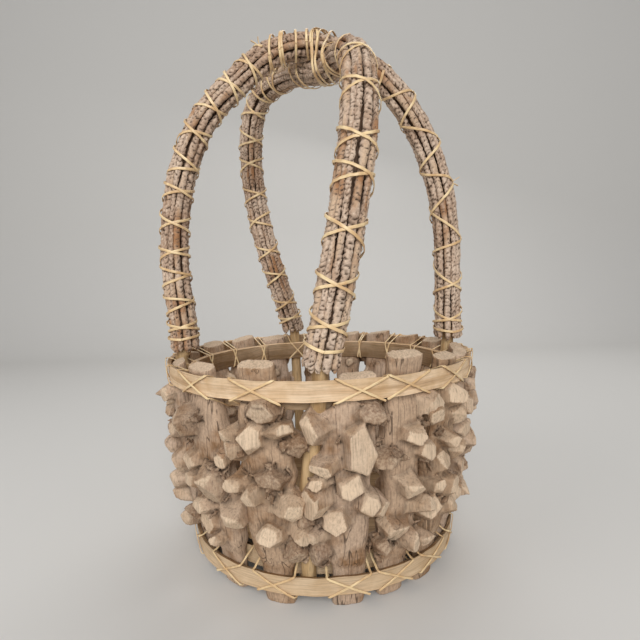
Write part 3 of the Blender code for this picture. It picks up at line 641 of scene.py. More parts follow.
def stem_rings(number, stake, seed):
    """Level rings of points round a stem, from its foot to its sawn top."""
    top, foot, left, right = (stake[2] / 1000, stake[3] / 1000, stake[4], stake[5])
    lowest = noise.noise(Vector((seed, 3.0, 1.0))) * 9.0
    if number in FRONT_TOPS:
        lowest = math.pi / 2 + lowest / 9
    shoulder, shoulder_reach, broader = SHOULDERS.get(number, (0.1, 0.01, 0.0))
    rings = []
    for level in range(STEM_LEVELS):
        height = foot + (top - foot) * level / (STEM_LEVELS - 1)
        spread = stem_spread(height)
        wander = [1.0 + STEM_WANDER * spread
                  * noise.noise(Vector((height * WANDER_PITCH, k * 7.0, seed)))
                  for k in range(4)]
        angle = stem_angle(stake, height)
        outer = wall_radius(height) - HOOP_THICKNESS - SLOT_EASE
        inner = outer - SLOT_WIDTH + 2 * SLOT_EASE
        outer += SWELL_OUT * spread * wander[2]
        inner -= SWELL_IN * spread * wander[3]
        last = max(level - STEM_LEVELS + 3, 0) / 2
        ring = []
        for side in range(STEM_SIDES):
            turn = 2 * math.pi * side / STEM_SIDES
            cos, sin = math.cos(turn), math.sin(turn)
            across = math.copysign(abs(cos) ** SQUARENESS, cos)
            deep = math.copysign(abs(sin) ** SQUARENESS, sin)
            more = broader * math.exp(-((height - shoulder) / shoulder_reach) ** 2)
            reach = right * wander[0] if cos > 0 else left * wander[1] + more
            half = END_HALF_ANGLE + (reach * SPREAD_FILL - END_HALF_ANGLE) * spread
            half *= 1.0 + EDGE_WANDER * noise.noise(Vector((height * EDGE_PITCH, cos, seed)))
            radius = (outer + inner) / 2 + (outer - inner) / 2 * deep
            drop = TOP_SLANT * last * (0.5 + 0.5 * math.cos(turn - lowest))
            ring.append(polar(angle + half * across, radius, height - drop))
        rings.append(ring)
    return rings


def add_loft(mesh, rings):
    """Join rings of points into one closed form."""
    rows = [[mesh.verts.new(point) for point in ring] for ring in rings]
    count = len(rows[0])
    for lower, upper in zip(rows, rows[1:]):
        for i in range(count):
            j = (i + 1) % count
            mesh.faces.new((lower[i], lower[j], upper[j], upper[i]))
    mesh.faces.new(list(reversed(rows[0])))
    mesh.faces.new(rows[-1])


print("a stem has", STEM_SIDES * STEM_LEVELS, "points")

# %% [markdown]
# A stub is a block that a knife left: the hull of a root, a belly and a slanted cut face with
# few corners. A neck of wood joins it to the stem, as the branch once did. Bark and knots get
# torn flakes round the root. The flat sides are kept as planes, each with a tint and a note
# whether it faces outwards, for the skin's next step.

# %% Define the stubs
FLAKE_WIDTH = 0.0065
FLAKE_THICKNESS = 0.0024
FLAKE_LOW, FLAKE_HIGH = 0.031, 0.162
NECK_TOP = 0.150
NECK_CORNERS = 8
NECK_AT_HEART, NECK_AT_ROOT = 0.85, 0.98
# Sides that make a smaller angle than this are one flat side.
FLAT_ANGLE = 11
# How squarely a flat side faces outwards: the sawn face, and the least that stays crisp.
FACE_CUT, LEAST_CUT = 0.7, 0.30
# Along a stub, as shares of its reach: root, belly and shoulder, each with its size.
STUB_SECTIONS = ((-0.5, 1.24), (0.12, 1.10), (0.62, 0.96))
CHIPPED_SIZE = 0.55
# By kind: the size of the sawn face, how much bark is left, and the torn flakes.
FACE_SIZES = {"cut": 0.90, "facet": 0.70, "smooth": 0.62, "bark": 0.72, "knot": 0.78}
BARK_LEFT = {"cut": 0.05, "facet": 0.12, "smooth": 0.0, "bark": 0.7, "knot": 0.45}
FLAKES = {"knot": 8, "bark": 6}
FLAKE_BARK = 0.8
# A flake along its length: share, and its breadth and thickness there.
FLAKE_SECTIONS = ((0.0, 1.0, 1.0), (0.6, 1.1, 0.8), (1.0, 0.5, 0.4))


def hull_points(mesh, points):
    """Add the closed hull of some points to a mesh and return its flat sides."""
    part = bmesh.new()
    for point in points:
        part.verts.new(point)
    bmesh.ops.convex_hull(part, input=part.verts[:])
    loose = [vert for vert in part.verts if not vert.link_faces]
    bmesh.ops.delete(part, geom=loose, context="VERTS")
    bmesh.ops.dissolve_limit(part, angle_limit=math.radians(FLAT_ANGLE), verts=part.verts[:],
                             edges=part.edges[:])
    bmesh.ops.recalc_face_normals(part, faces=part.faces[:])
    planes = []
    copies = {vert: mesh.verts.new(vert.co) for vert in part.verts}
    for face in part.faces:
        mesh.faces.new([copies[vert] for vert in face.verts])
        planes.append((face.normal.copy(), face.normal.dot(face.calc_center_median())))
    part.free()
    return planes


def add_neck(mesh, heart, root, side, up, width, tall):
    """The wood that flows from the stem's middle to the root of a stub."""
    points = []
    for centre, size in ((heart, NECK_AT_HEART), (root, NECK_AT_ROOT)):
        for step in range(NECK_CORNERS):
            turn = 2 * math.pi * step / NECK_CORNERS
            points.append(centre + side * (width / 2 * size * math.cos(turn))
                          + up * (tall / 2 * size * math.sin(turn)))
    hull_points(mesh, points)


def add_stub(mesh, root, axis, width, tall, reach, kind, dice):
    """One cut branch stub: width sideways, tall upwards, standing out along its axis."""
    side = Vector((0.0, 0.0, 1.0)).cross(axis).normalized()
    up = axis.cross(side).normalized()
    slant_side = dice.uniform(-0.45, 0.45)
    slant_up = dice.uniform(-0.35, 0.55)
    corners = dice.choice((5, 5, 6, 6, 7))
    first = dice.uniform(0.0, 2 * math.pi)
    turns = [first + 2 * math.pi * (step + dice.uniform(-0.30, 0.30)) / corners
             for step in range(corners)]
    grown = [dice.uniform(0.88, 1.12) for _ in range(corners)]
    chipped = dice.randrange(corners)
    points = []
    for share, size in (*STUB_SECTIONS, (1.0, FACE_SIZES[kind])):
        for k in range(corners):
            own = size * grown[k] * dice.uniform(0.95, 1.05)
            if k == chipped and share == 1.0:
                own *= CHIPPED_SIZE
            x = width / 2 * own * math.cos(turns[k])
            y = tall / 2 * own * math.sin(turns[k])
            out = reach * share
            if share == 1.0:
                out += x * slant_side + y * slant_up
            points.append(root + axis * out + side * x + up * y)
    planes = hull_points(mesh, points)
    tints, crisp = [], []
    for normal, _ in planes:
        facing = normal.dot(axis)
        crisp.append(facing > LEAST_CUT)
        if facing > FACE_CUT:
            tints.append(dice.uniform(0.65, 1.0) if kind != "bark" else dice.uniform(0.3, 0.6))
        elif facing > LEAST_CUT:
            tints.append(dice.uniform(0.2, 0.85) if kind in ("cut", "facet") else
                         dice.uniform(0.0, 0.5))
        else:
            tints.append(dice.uniform(0.0, 0.4))
    stubs = [(planes, tints, BARK_LEFT[kind], crisp)]
    for _ in range(FLAKES.get(kind, dice.choice((0, 0, 1, 2)))):
        turn = dice.uniform(0.0, 2 * math.pi)
        radial = side * math.cos(turn) + up * math.sin(turn)
        tangent = axis.cross(radial).normalized()
        foot = (root + side * (width / 2 * 0.92 * math.cos(turn))
                + up * (tall / 2 * 0.92 * math.sin(turn)) - axis * reach * 0.3)
        points_to = (axis + radial * dice.uniform(0.0, 0.8)
                     + tangent * dice.uniform(-0.7, 0.7)).normalized()
        flat = points_to.cross(tangent).normalized()
        length = reach * dice.uniform(0.7, 1.15)
        half = FLAKE_WIDTH / 2 * dice.uniform(0.6, 1.3)
        points = []
        for share, wide, thick in FLAKE_SECTIONS:
            for a in (-1, 1):
                for b in (-1, 1):
                    points.append(foot + points_to * (length * share)
                                  + tangent * (a * half * wide * dice.uniform(0.8, 1.2))
                                  + flat * (b * FLAKE_THICKNESS / 2 * thick))
        for point in points:
            point.z = min(max(point.z, FLAKE_LOW), FLAKE_HIGH)
        planes = hull_points(mesh, points)
        stubs.append((planes, [dice.uniform(0.0, 0.5) for _ in planes], FLAKE_BARK,
                      [True] * len(planes)))
    return stubs, side, up


print("kinds of stub: cut, facet, smooth, bark, knot")

# %% [markdown]
# Stakes away from the front get stubs of the same sizes at random places, spread so that two
# never sit on the same spot. The front ones are filled up in the same way, but for the bare
# stretches seen in the picture. Every stake also has smaller stubs on its inner face.

# %% Choose the stubs of a stake
STUB_REACH = 0.0128
STUB_LIMIT = 0.1522
STUB_GROWTH = 1.2
OUTER_STUBS = 10
INNER_STUBS = 4
MOST_TRIES = 500
# Heights in millimetres between which stubs stand, outside and inside.
OUTER_LOW, OUTER_HIGH = 46, 158
INNER_LOW, INNER_SPAN = 55, 95
# A degree of the wall is about 2.3 mm wide. Two stubs may overlap by about a fifth.
MM_PER_DEGREE, LEAST_GAP = 2.3, 0.20
KINDS = ("facet", "facet", "facet", "cut", "cut", "bark", "smooth", "knot")
# Stretches of smooth stem at the front: offset, height, width and tallness as for a stub.
BARE = {1: ((-4.5, 146, 30, 34), (-2.0, 45, 14, 26)), 16: ((4.5, 138, 26, 50),),
        17: ((-1.0, 118, 16, 14),), 2: ((-2.0, 150, 14, 12), (-3.0, 108, 12, 12))}


def stubs_for(number, stake, dice):
    """Offsets, heights, sizes and kinds of the stubs on both faces of a stake."""
    outer = [(offset, height, width * STUB_GROWTH, tall * STUB_GROWTH, kind)
             for offset, height, width, tall, kind in FRONT_STUBS.get(number, ())]
    bare = [(*zone, "bare") for zone in BARE.get(number, ())]
    spread_left, spread_right = stake[4:6]
    wanted = max(OUTER_STUBS, len(outer))
    tries = 0
    while len(outer) < wanted and tries < MOST_TRIES:
        tries += 1
        offset = dice.uniform(-1.05 * spread_left, 1.05 * spread_right)
        height = dice.uniform(OUTER_LOW, OUTER_HIGH)
        width, tall = dice.uniform(13, 23), dice.uniform(12, 21)
        clear = all(math.hypot((offset - other[0]) * MM_PER_DEGREE, height - other[1]) >
                    (width + tall + other[2] + other[3]) * LEAST_GAP
                    for other in outer + bare)
        if clear:
            outer.append((offset, height, width, tall, dice.choice(KINDS)))
    inner = []
    while len(inner) < INNER_STUBS:
        offset = dice.uniform(-0.7 * spread_left, 0.7 * spread_right)
        height = INNER_LOW + INNER_SPAN * (len(inner) + dice.uniform(0.1, 0.9)) / INNER_STUBS
        inner.append((offset, height, dice.uniform(10, 16), dice.uniform(10, 16), "facet"))
    return outer, inner


print("outer stubs on a plain stake:", OUTER_STUBS)

# %% [markdown]
# After the remesh each point finds the flat side that it lies on and takes its tint. On the
# sides that face outwards it is put exactly into the plane, so the cuts stay crisp. All other
# points are smoothed, so the wood flows. Where a stub meets the stem or another stub, a crack
# is pressed in and painted dark as shade, most where it faces down.

# %% Define the skin's numbers
VOXEL = 0.00115
FLOW_ROUNDS = 5
SMOOTH_ROUNDS = 10
HOLLOW_DEPTH = 0.0009
FACET_REACH = 0.0009
CRACK_REACH = 0.0017
# A crack fades in and out along a stub's root, in waves of about 25 mm.
CRACK_WAVE_A, CRACK_WAVE_B, CRACK_LEAST = (190.0, 70.0, 240.0), (-90.0, 210.0, 130.0), 0.55


def smoothed(places, pairs, rounds):
    """Places averaged with their neighbours, a few times over."""
    count = np.zeros(len(places))
    np.add.at(count, pairs[:, 0], 1)
    np.add.at(count, pairs[:, 1], 1)
    for _ in range(rounds):
        total = np.zeros_like(places)
        for axis in range(3):
            total[:, axis] = (np.bincount(pairs[:, 0], places[pairs[:, 1], axis], len(places))
                              + np.bincount(pairs[:, 1], places[pairs[:, 0], axis], len(places)))
        places = 0.5 * places + 0.5 * total / count[:, None]
    return places


def find_facets(places, stubs):
    """For each place: tint and roughness of its flat side, the way into it, and any crack."""
    count = len(places)
    gaps = np.empty((count, len(stubs)))
    sides = np.empty((count, len(stubs)), dtype=int)
    for k, (planes, _, _, _) in enumerate(stubs):
        normals = np.array([list(normal) for normal, _ in planes])
        distances = places @ normals.T - np.array([offset for _, offset in planes])
        sides[:, k] = distances.argmax(axis=1)
        gaps[:, k] = distances.max(axis=1)
    order = np.argsort(np.abs(gaps), axis=1)
    rows = np.arange(count)
    nearest, second = gaps[rows, order[:, 0]], gaps[rows, order[:, 1]]
    on_stub = np.abs(nearest) < FACET_REACH
    tint, rough = np.zeros(count), np.zeros(count)
    way = np.zeros_like(places)
    firm = np.zeros(count, dtype=bool)
    for k, (planes, tints, barked, crisp) in enumerate(stubs):
        mine = on_stub & (order[:, 0] == k)
        side = sides[mine, k]
        tint[mine] = np.array(tints)[side]
        firm[mine] = np.array(crisp)[side]
        rough[mine] = barked
        normals = np.array([list(normal) for normal, _ in planes])
        way[mine] = -normals[side] * gaps[mine, k][:, None]
    crack = np.where(on_stub, 1.0 - (np.abs(second) - np.abs(nearest)) / CRACK_REACH,
                     1.0 - np.abs(nearest) / CRACK_REACH)
    broken = np.sin(places @ np.array(CRACK_WAVE_A)) * np.sin(places @ np.array(CRACK_WAVE_B))
    crack = np.clip(crack, 0.0, 1.0) * np.clip(CRACK_LEAST + broken, 0.0, 1.0)
    return tint, rough, way, crack, firm


def store_number(mesh, name, values):
    """Keep one number for each point of a mesh, for its material to read."""
    mesh.attributes.new(name, "FLOAT", "POINT").data.foreach_set("value",
                                                                 values.astype(np.float32))


print("voxel size", VOXEL * 1000, "mm")

# %% [markdown]
# A stake is built from its forms: the lofted stem, then each stub with its neck. The stubs
# lean and twist a little at random. A voxel remesh fuses them, where a boolean union would
# leave sharp seams.

# %% Define how a stake is built
FIRST_SEED = 500
EDGE_FALL = 0.004
INNER_REACH, CUT_REACH = 0.5, 0.85
ROOT_DEPTH = 0.0015


def build_stake(number, stake):
    """A stake with its stubs as one remeshed skin, and the flat sides of its stubs."""
    dice = random.Random(FIRST_SEED + number)
    mesh = bmesh.new()
    add_loft(mesh, stem_rings(number, stake, number * 3.7))
    stubs = []
    outer, inner = stubs_for(number, stake, dice)
    for facing, rows in ((1.0, outer), (-1.0, inner)):
        for offset, height, width, tall, kind in rows:
            height, width, tall = height / 1000, width / 1000, tall / 1000
            angle = stem_angle(stake, height) + offset
            spread = stem_spread(height)
            limit = stake[5] if offset > 0 else stake[4]
            sideways = offset / max(limit, 1.0)
            if facing > 0:
                surface = wall_radius(height) - HOOP_THICKNESS + SWELL_OUT * spread
                surface -= EDGE_FALL * max(abs(sideways) - 0.6, 0.0)
            else:
                surface = (wall_radius(height) - HOOP_THICKNESS - SLOT_WIDTH - SWELL_IN * spread)
            reach = min(STUB_REACH * dice.uniform(0.62, 1.15)
                        * (1.0 if facing > 0 else INNER_REACH), abs(STUB_LIMIT - surface))
            if kind == "cut":
                reach *= CUT_REACH
            outwards = polar(angle, facing, 0.0)
            aside = polar(angle + 90.0, 1.0, 0.0) * sideways * dice.uniform(0.25, 0.6)
            axis = (outwards + aside + Vector((0.0, 0.0, dice.uniform(-0.4, 0.3)))).normalized()
            root = polar(angle, surface - facing * ROOT_DEPTH, height)
            grown, side, up = add_stub(mesh, root, axis, width, tall, reach, kind, dice)
            stubs += grown
            heart = polar(stem_angle(stake, height) + 0.5 * offset,
                          wall_radius(height) - HOOP_THICKNESS - SLOT_WIDTH / 2,
                          min(height + dice.uniform(-0.3, 1.1) * tall, NECK_TOP))
            add_neck(mesh, heart, root, side, up, width * 0.92, tall * 0.85)
    bmesh.ops.recalc_face_normals(mesh, faces=mesh.faces[:])
    data = bpy.data.meshes.new(f"knobbly_stake_{number:02d}")
    mesh.to_mesh(data)
    mesh.free()
    item = new_object(data.name, data)
    remesh = item.modifiers.new("skin", "REMESH")
    remesh.mode = "VOXEL"
    remesh.voxel_size = VOXEL
    settle(item)
    return item, stubs


print("seeds run from", FIRST_SEED + 1, "to", FIRST_SEED + len(STAKES))

# %% [markdown]
# The skin's relief comes in three sizes: fine along the grain, broad on the stem and torn on
# bark. The painted shade of hollows and cracks, `cut` and `rough` are worked out here too, since
# the same planes and cracks decide both shape and colour.

# %% Define the relief
FINE_RELIEF, BROAD_RELIEF, TORN_RELIEF = 0.00014, 0.0003, 0.0012
FINE_PITCH, BROAD_PITCH, TORN_PITCH = (620, 90), (160, 60), (360, 150)
CRACK_PITCH = 130
# How deep a hollow is when its painted shade is full, and how strong a crack's painted shade is.
HOLLOW_SHADE_FULL = 0.0008
CRACK_SHADE = 0.9
TOP_UPRIGHT, TOP_TINT = 0.8, 0.7


def give_relief(item, stubs, stake, seed):
    """Flatten the cuts, press in the cracks, roughen the rest, and store the numbers."""
    data = item.data
    count = len(data.vertices)
    places = np.empty(count * 3)
    data.vertices.foreach_get("co", places)
    places = places.reshape(-1, 3)
    pairs = np.empty(len(data.edges) * 2, dtype=np.int32)
    data.edges.foreach_get("vertices", pairs)
    pairs = pairs.reshape(-1, 2)
    tint, rough, way, crack, firm = find_facets(places, stubs)
    upright = np.array([normal.vector[2] for normal in data.vertex_normals])
    top = (places[:, 2] > stake[2] / 1000 - TOP_DEPTH) & (upright > TOP_UPRIGHT)
    firm = firm | top
    flowing = smoothed(places, pairs, FLOW_ROUNDS)
    places = np.where(firm[:, None], places + way, flowing)
    data.vertices.foreach_set("co", places.ravel())
    data.update()
    normals = np.array([list(normal.vector) for normal in data.vertex_normals])
    proud = ((smoothed(places, pairs, SMOOTH_ROUNDS) - places) * normals).sum(axis=1)
    mask = np.array([noise.noise(Vector((x * CRACK_PITCH, y * CRACK_PITCH,
                                         z * CRACK_PITCH + seed))) for x, y, z in places])
    # Painted shade: the crack shade is made stronger where the skin faces down, under the stubs.
    crack *= np.clip(0.60 + 1.6 * mask - 0.35 * normals[:, 2], 0.12, 1.0)
    # Painted shade: full in deep hollows and along the cracks; the skin is pressed in there too.
    hollow_shade = np.maximum(np.clip(proud / HOLLOW_SHADE_FULL, 0.0, 1.0), CRACK_SHADE * crack)
    tint[top] = TOP_TINT
    relief = np.empty(count)
    (fine_x, fine_z), (broad_x, broad_z), (torn_x, torn_z) = FINE_PITCH, BROAD_PITCH, TORN_PITCH
    for i, (x, y, z) in enumerate(places):
        fine = noise.noise(Vector((x * fine_x, y * fine_x, z * fine_z + seed)))
        broad = noise.noise(Vector((x * broad_x, y * broad_x, z * broad_z - seed)))
        torn = abs(noise.noise(Vector((x * torn_x, y * torn_x, z * torn_z + seed)))) - 0.25
        relief[i] = (FINE_RELIEF * fine + BROAD_RELIEF * broad * (1.0 - firm[i])
                     + TORN_RELIEF * rough[i] * torn)
    places = places + normals * (relief - HOLLOW_DEPTH * hollow_shade ** 1.5)[:, None]
    data.vertices.foreach_set("co", places.ravel())
    store_number(data, "hollow_shade", hollow_shade)
    store_number(data, "cut", tint)
    store_number(data, "rough", smoothed(np.repeat(rough[:, None], 3, 1), pairs, 1)[:, 0])
    store_number(data, "own", np.full(count, (seed * 0.618) % 1.0))
    data.update()
    data.shade_smooth()


print("relief up to", TORN_RELIEF * 1000, "mm")

# %% [markdown]
# With both steps ready, a short loop makes the seventeen stakes. Each has its own seeds, so
# no two are alike and each run gives the same ones.

# %% Build the stakes
for number, stake in enumerate(STAKES, 1):
    item, stubs = build_stake(number, stake)
    give_relief(item, stubs, stake, number * 5.3)
    keep_piece(item, stake_wood, "stake_wood", f"stake_{number:02d}")
    print(item.name, len(item.data.polygons), "faces")

# %% [markdown]
# ## The lines of the handles
# One handle is half an ellipse on two straight legs. The other starts at the front, leans
# over the crown and comes down behind, so it follows a smooth curve through chosen places.
# Both are cut into even stations, and each station keeps the way out and the way sideways.
# Where the two cross they are pressed flatter and wider.

# %% Repeat the handles' sizes
TWIG_DIAMETER = 0.0069
TWIG_COUNT = 8
TWIG_GAP = 0.0003
TWIG_RING = (TWIG_DIAMETER + TWIG_GAP) / (2 * math.sin(math.pi / TWIG_COUNT))
BUNDLE_RADIUS = TWIG_RING + TWIG_DIAMETER / 2
CORE_RADIUS = TWIG_RING - TWIG_DIAMETER / 2 - TWIG_GAP
HANDLE_FOOT = 0.186
PRESS_SHARE, SPREAD_SHARE, PRESS_REACH = 0.72, 1.18, 0.075
ARCH_RISE, ARCH_SPRING = 0.278, 0.084
CROSSING_DROP = 2 * PRESS_SHARE * BUNDLE_RADIUS + TWIG_GAP
LOW_ARCH_DIP = 0.0026
LOW_ARCH_RISE = ARCH_RISE - CROSSING_DROP - LOW_ARCH_DIP
LEFT_ANGLE, RIGHT_ANGLE, FRONT_ANGLE, REAR_ANGLE = 275.0, 99.0, 0.0, 193.0
STATIONS = 121
BOW_STEPS = 48
CURVE_STEPS = 12
# Places of the leaning handle: sideways and backwards in rim radii, upwards in its own rise.
LOW_ARCH_PLACES = (
    (0.085, -0.890, 0.21), (0.170, -0.850, 0.44), (0.235, -0.770, 0.66), (0.257, -0.590, 0.86),
    (0.215, -0.300, 0.975), (0.100, 0.030, 0.985), (-0.119, 0.335, 1.050),
    (-0.328, 0.613, 1.058), (-0.468, 0.770, 0.994), (-0.520, 0.835, 0.815),
    (-0.485, 0.860, 0.565), (-0.386, 0.880, 0.32), (-0.293, 0.900, 0.15),
)


def slot_middle(height):
    """Radius of the middle of the slot between the hoops, where the handles stand."""
    return wall_radius(height) - HOOP_THICKNESS - SLOT_WIDTH / 2


def curve_through(places, steps):
    """A smooth curve through a list of places."""
    ends = [places[0] * 2 - places[1]] + places + [places[-1] * 2 - places[-2]]
    points = []
    for a, b, c, d in zip(ends, ends[1:], ends[2:], ends[3:]):
        for step in range(steps):
            t = step / steps
            points.append((b * 2 + (c - a) * t + (a * 2 - b * 5 + c * 4 - d) * t ** 2
                           + (b * 3 - a - c * 3 + d) * t ** 3) / 2)
    return points + [places[-1]]


def high_arch():
    """The handle from left to right: half an ellipse on two short legs."""
    left = polar(LEFT_ANGLE, slot_middle(HANDLE_FOOT), HANDLE_FOOT)
    right = polar(RIGHT_ANGLE, slot_middle(HANDLE_FOOT), HANDLE_FOOT)
    middle, half = (left + right) / 2, (right - left) / 2
    spring = Vector((0.0, 0.0, ARCH_SPRING))
    rise = Vector((0.0, 0.0, ARCH_RISE - ARCH_SPRING))
    bow = [middle + spring - half * math.cos(math.pi * step / BOW_STEPS)
           + rise * math.sin(math.pi * step / BOW_STEPS) for step in range(BOW_STEPS + 1)]
    return [left] + bow + [right]


def low_arch():
    """The leaning handle, from the front over the crown to the rear."""
    front = polar(FRONT_ANGLE, slot_middle(HANDLE_FOOT), HANDLE_FOOT)
    rear = polar(REAR_ANGLE, slot_middle(HANDLE_FOOT), HANDLE_FOOT)
    inner = [Vector((x * RIM_RADIUS, y * RIM_RADIUS, HANDLE_FOOT + z * LOW_ARCH_RISE))
             for x, y, z in LOW_ARCH_PLACES]
    return curve_through([front] + inner + [rear], CURVE_STEPS)


print("a bundle is", round(BUNDLE_RADIUS * 2000, 1), "mm thick")

# %% [markdown]
# Curves are cut evenly in three steps that return later for the cane: measure the run along
# the places, read any rows at even distances, and soften the result.

# %% Define how a line is cut and softened
def run_along(places):
    """The distance from the start to each place of a line."""
    gaps = np.linalg.norm(np.diff(places, axis=0), axis=1)
    return np.concatenate(([0.0], np.cumsum(gaps)))


def read_at(distances, run, rows):
    """Rows of numbers read between the places of a line, at chosen distances."""
    return np.stack([np.interp(distances, run, rows[:, k]) for k in range(rows.shape[1])], axis=1)


def soften(rows, rounds):
    """Average each row with its two neighbours, a few times over. The ends stay."""
    for _ in range(rounds):
        rows[1:-1] = (rows[:-2] + 2 * rows[1:-1] + rows[2:]) / 4


# %% [markdown]
# A handle's stations carry two half-axes, so a place beside its middle line needs only a
# share of the length and two distances. Near the crossing the half-axes are unequal.

# %% Cut the handles into stations
class Arch:
    """Even stations along a handle, with the bundle's outward and sideways half-axes."""

    def __init__(self, curve, crossing, relief=()):
        curve = np.array([list(point) for point in curve])
        run = run_along(curve)
        self.length = run[-1]
        middles = read_at(np.linspace(0.0, self.length, STATIONS), run, curve)
        shares = np.linspace(0.0, 1.0, STATIONS)
        for centre, reach, shift in relief:
            middles += np.exp(-((shares - centre) / reach) ** 2)[:, None] * np.array(shift)
        soften(middles, 4)
        self.places = [Vector(middle) for middle in middles]
        self.outwards, self.sideways = [], []
        last = STATIONS - 1
        for i, place in enumerate(self.places):
            ahead = self.places[min(i + 1, last)] - self.places[max(i - 1, 0)]
            ahead = Vector((0.0, 0.0, ahead.z)) if i in (0, last) else ahead
            ahead.normalize()
            out = place - Vector((0.0, 0.0, HANDLE_FOOT))
            out = (out - ahead * out.dot(ahead)).normalized()
            near = 1.0 - smooth((place - crossing).length / PRESS_REACH)
            self.outwards.append(out * (1.0 + (PRESS_SHARE - 1.0) * near))
            self.sideways.append(ahead.cross(out).normalized()
                                 * (1.0 + (SPREAD_SHARE - 1.0) * near))

    def at(self, share, out=0.0, side=0.0):
        """A place beside the middle line, at a share of the handle's length."""
        spot = min(max(share, 0.0), 1.0) * (STATIONS - 1)
        k = min(int(spot), STATIONS - 2)
        middle = self.places[k].lerp(self.places[k + 1], spot - k)
        outwards = self.outwards[k].lerp(self.outwards[k + 1], spot - k)
        sideways = self.sideways[k].lerp(self.sideways[k + 1], spot - k)
        return middle + outwards * out + sideways * side


# The high handle isn't a true ellipse: share, reach and shift of its two small departures.
HIGH_RELIEF = ((0.0, 0.07, (0.0055, 0.0, 0.0)), (0.385, 0.05, (0.0022, 0.0, -0.0055)))
upper_line, lower_line = high_arch(), low_arch()
crossing = min(((Vector((a.x - b.x, a.y - b.y)).length, a) for a in upper_line
                for b in lower_line), key=lambda pair: pair[0])[1]
arch_a = Arch(upper_line, crossing, HIGH_RELIEF)
arch_b = Arch(lower_line, crossing - Vector((0.0, 0.0, CROSSING_DROP)))
print("handles", round(arch_a.length * 1000), "and", round(arch_b.length * 1000), "mm long")

# %% [markdown]
# ## A tree that sweeps a ringed twig
# A twig repeats one rule over its whole length: a thin round stem with a bark ring every few
# millimetres. That is work for Geometry Nodes. The tree turns a line into a tube, stores how
# far along and on which side each point lies, and swells and narrows it by a slow noise.

# %% Define what both sweeps share
def start_tree(name, inputs):
    """A Geometry Nodes tree with named inputs, and the sockets that they feed."""
    tree = bpy.data.node_groups.new(name, "GeometryNodeTree")
    for label, kind in inputs:
        tree.interface.new_socket(label, in_out="INPUT", socket_type=kind)
    tree.interface.new_socket("Geometry", in_out="OUTPUT", socket_type="NodeSocketGeometry")
    return tree, add_node(tree, "NodeGroupInput").outputs


def swept_path(tree, given):
    """The start of both sweeps: mesh points as an even, measured curve that faces out."""
    curve = add_node(tree, "GeometryNodeMeshToCurve", {"Mesh": given["Path"]})
    even = add_node(tree, "GeometryNodeResampleCurve", {
        "Curve": curve, "Length": given["Step"]}, mode="LENGTH")
    out = add_node(tree, "GeometryNodeInputNamedAttribute", {"Name": "face_out"},
                   data_type="FLOAT_VECTOR")
    faced = add_node(tree, "GeometryNodeSetCurveNormal", {
        "Curve": even, "Normal": out.outputs["Attribute"]}, mode="FREE")
    length = add_node(tree, "GeometryNodeSplineParameter").outputs["Length"]
    marked = add_node(tree, "GeometryNodeStoreNamedAttribute", {
        "Geometry": faced, "Name": "along", "Value": length}, data_type="FLOAT", domain="POINT")
    return marked, length


def with_sides(tree, section):
    """A section whose points know their own place, so the skin can tell its sides."""
    return add_node(tree, "GeometryNodeStoreNamedAttribute", {
        "Geometry": section, "Name": "side",
        "Value": add_node(tree, "GeometryNodeInputPosition")},
        data_type="FLOAT_VECTOR", domain="POINT")


def finish_tree(tree, geometry, material):
    """End a sweep's tree with smooth shading, real geometry and the finish."""
    soft = add_node(tree, "GeometryNodeSetShadeSmooth", {"Geometry": geometry})
    real = add_node(tree, "GeometryNodeRealizeInstances", {"Geometry": soft})
    finished = add_node(tree, "GeometryNodeSetMaterial", {"Geometry": real, "Material": material})
    add_node(tree, "NodeGroupOutput", {"Geometry": finished})
    print("nodes in", tree.name, len(tree.nodes))
    return tree


# %% [markdown]
# A shoot's thickness follows a slow noise, and its two ends are rounded off, so no end looks
# like a cut pipe.

# %% Build the twig tree's tube
PROFILE_SIDES = 13
THICK_PITCH = 38.0
THINNEST, THICKEST = 0.80, 1.20
TIP_LENGTH, TIP_SIZE = 0.0030, 0.45
SEED_STEP = 37.0

tree, given = start_tree("twig of ringed bark", (
    ("Path", "NodeSocketGeometry"), ("Step", "NodeSocketFloat"), ("Radius", "NodeSocketFloat"),
    ("Ring spacing", "NodeSocketFloat"), ("Ring height", "NodeSocketFloat"),
    ("Seed", "NodeSocketFloat"), ("Bark", "NodeSocketMaterial")))
marked, length = swept_path(tree, given)
round_line = add_node(tree, "GeometryNodeCurvePrimitiveCircle", {
    "Resolution": PROFILE_SIDES, "Radius": 1.0})
tag = add_node(tree, "GeometryNodeInputNamedAttribute", {"Name": "tag"},
               data_type="FLOAT").outputs["Attribute"]
own_seed = add_node(tree, "ShaderNodeMath", {0: tag, 1: SEED_STEP, 2: given["Seed"]},
                    operation="MULTIPLY_ADD")
thick_noise = add_node(tree, "ShaderNodeTexNoise", {
    "W": add_node(tree, "ShaderNodeMath", {
        0: add_node(tree, "ShaderNodeMath", {0: length, 1: THICK_PITCH},
                    operation="MULTIPLY"), 1: own_seed},
        operation="ADD"), "Scale": 1.0}, noise_dimensions="1D")
thick = add_node(tree, "ShaderNodeMath", {
    0: given["Radius"], 1: add_node(tree, "ShaderNodeMapRange", {
        "Value": thick_noise, "From Min": 0.25, "From Max": 0.75,
        "To Min": THINNEST, "To Max": THICKEST})}, operation="MULTIPLY")
from_tip = add_node(tree, "ShaderNodeMath", {
    0: add_node(tree, "GeometryNodeSplineLength").outputs["Length"], 1: length},
    operation="SUBTRACT")
to_end = add_node(tree, "ShaderNodeMath", {0: length, 1: from_tip}, operation="MINIMUM")
rounded = add_node(tree, "ShaderNodeMath", {
    0: thick, 1: add_node(tree, "ShaderNodeMapRange", {
        "Value": to_end, "From Max": TIP_LENGTH, "To Min": TIP_SIZE, "To Max": 1.0},
        interpolation_type="SMOOTHERSTEP")}, operation="MULTIPLY")
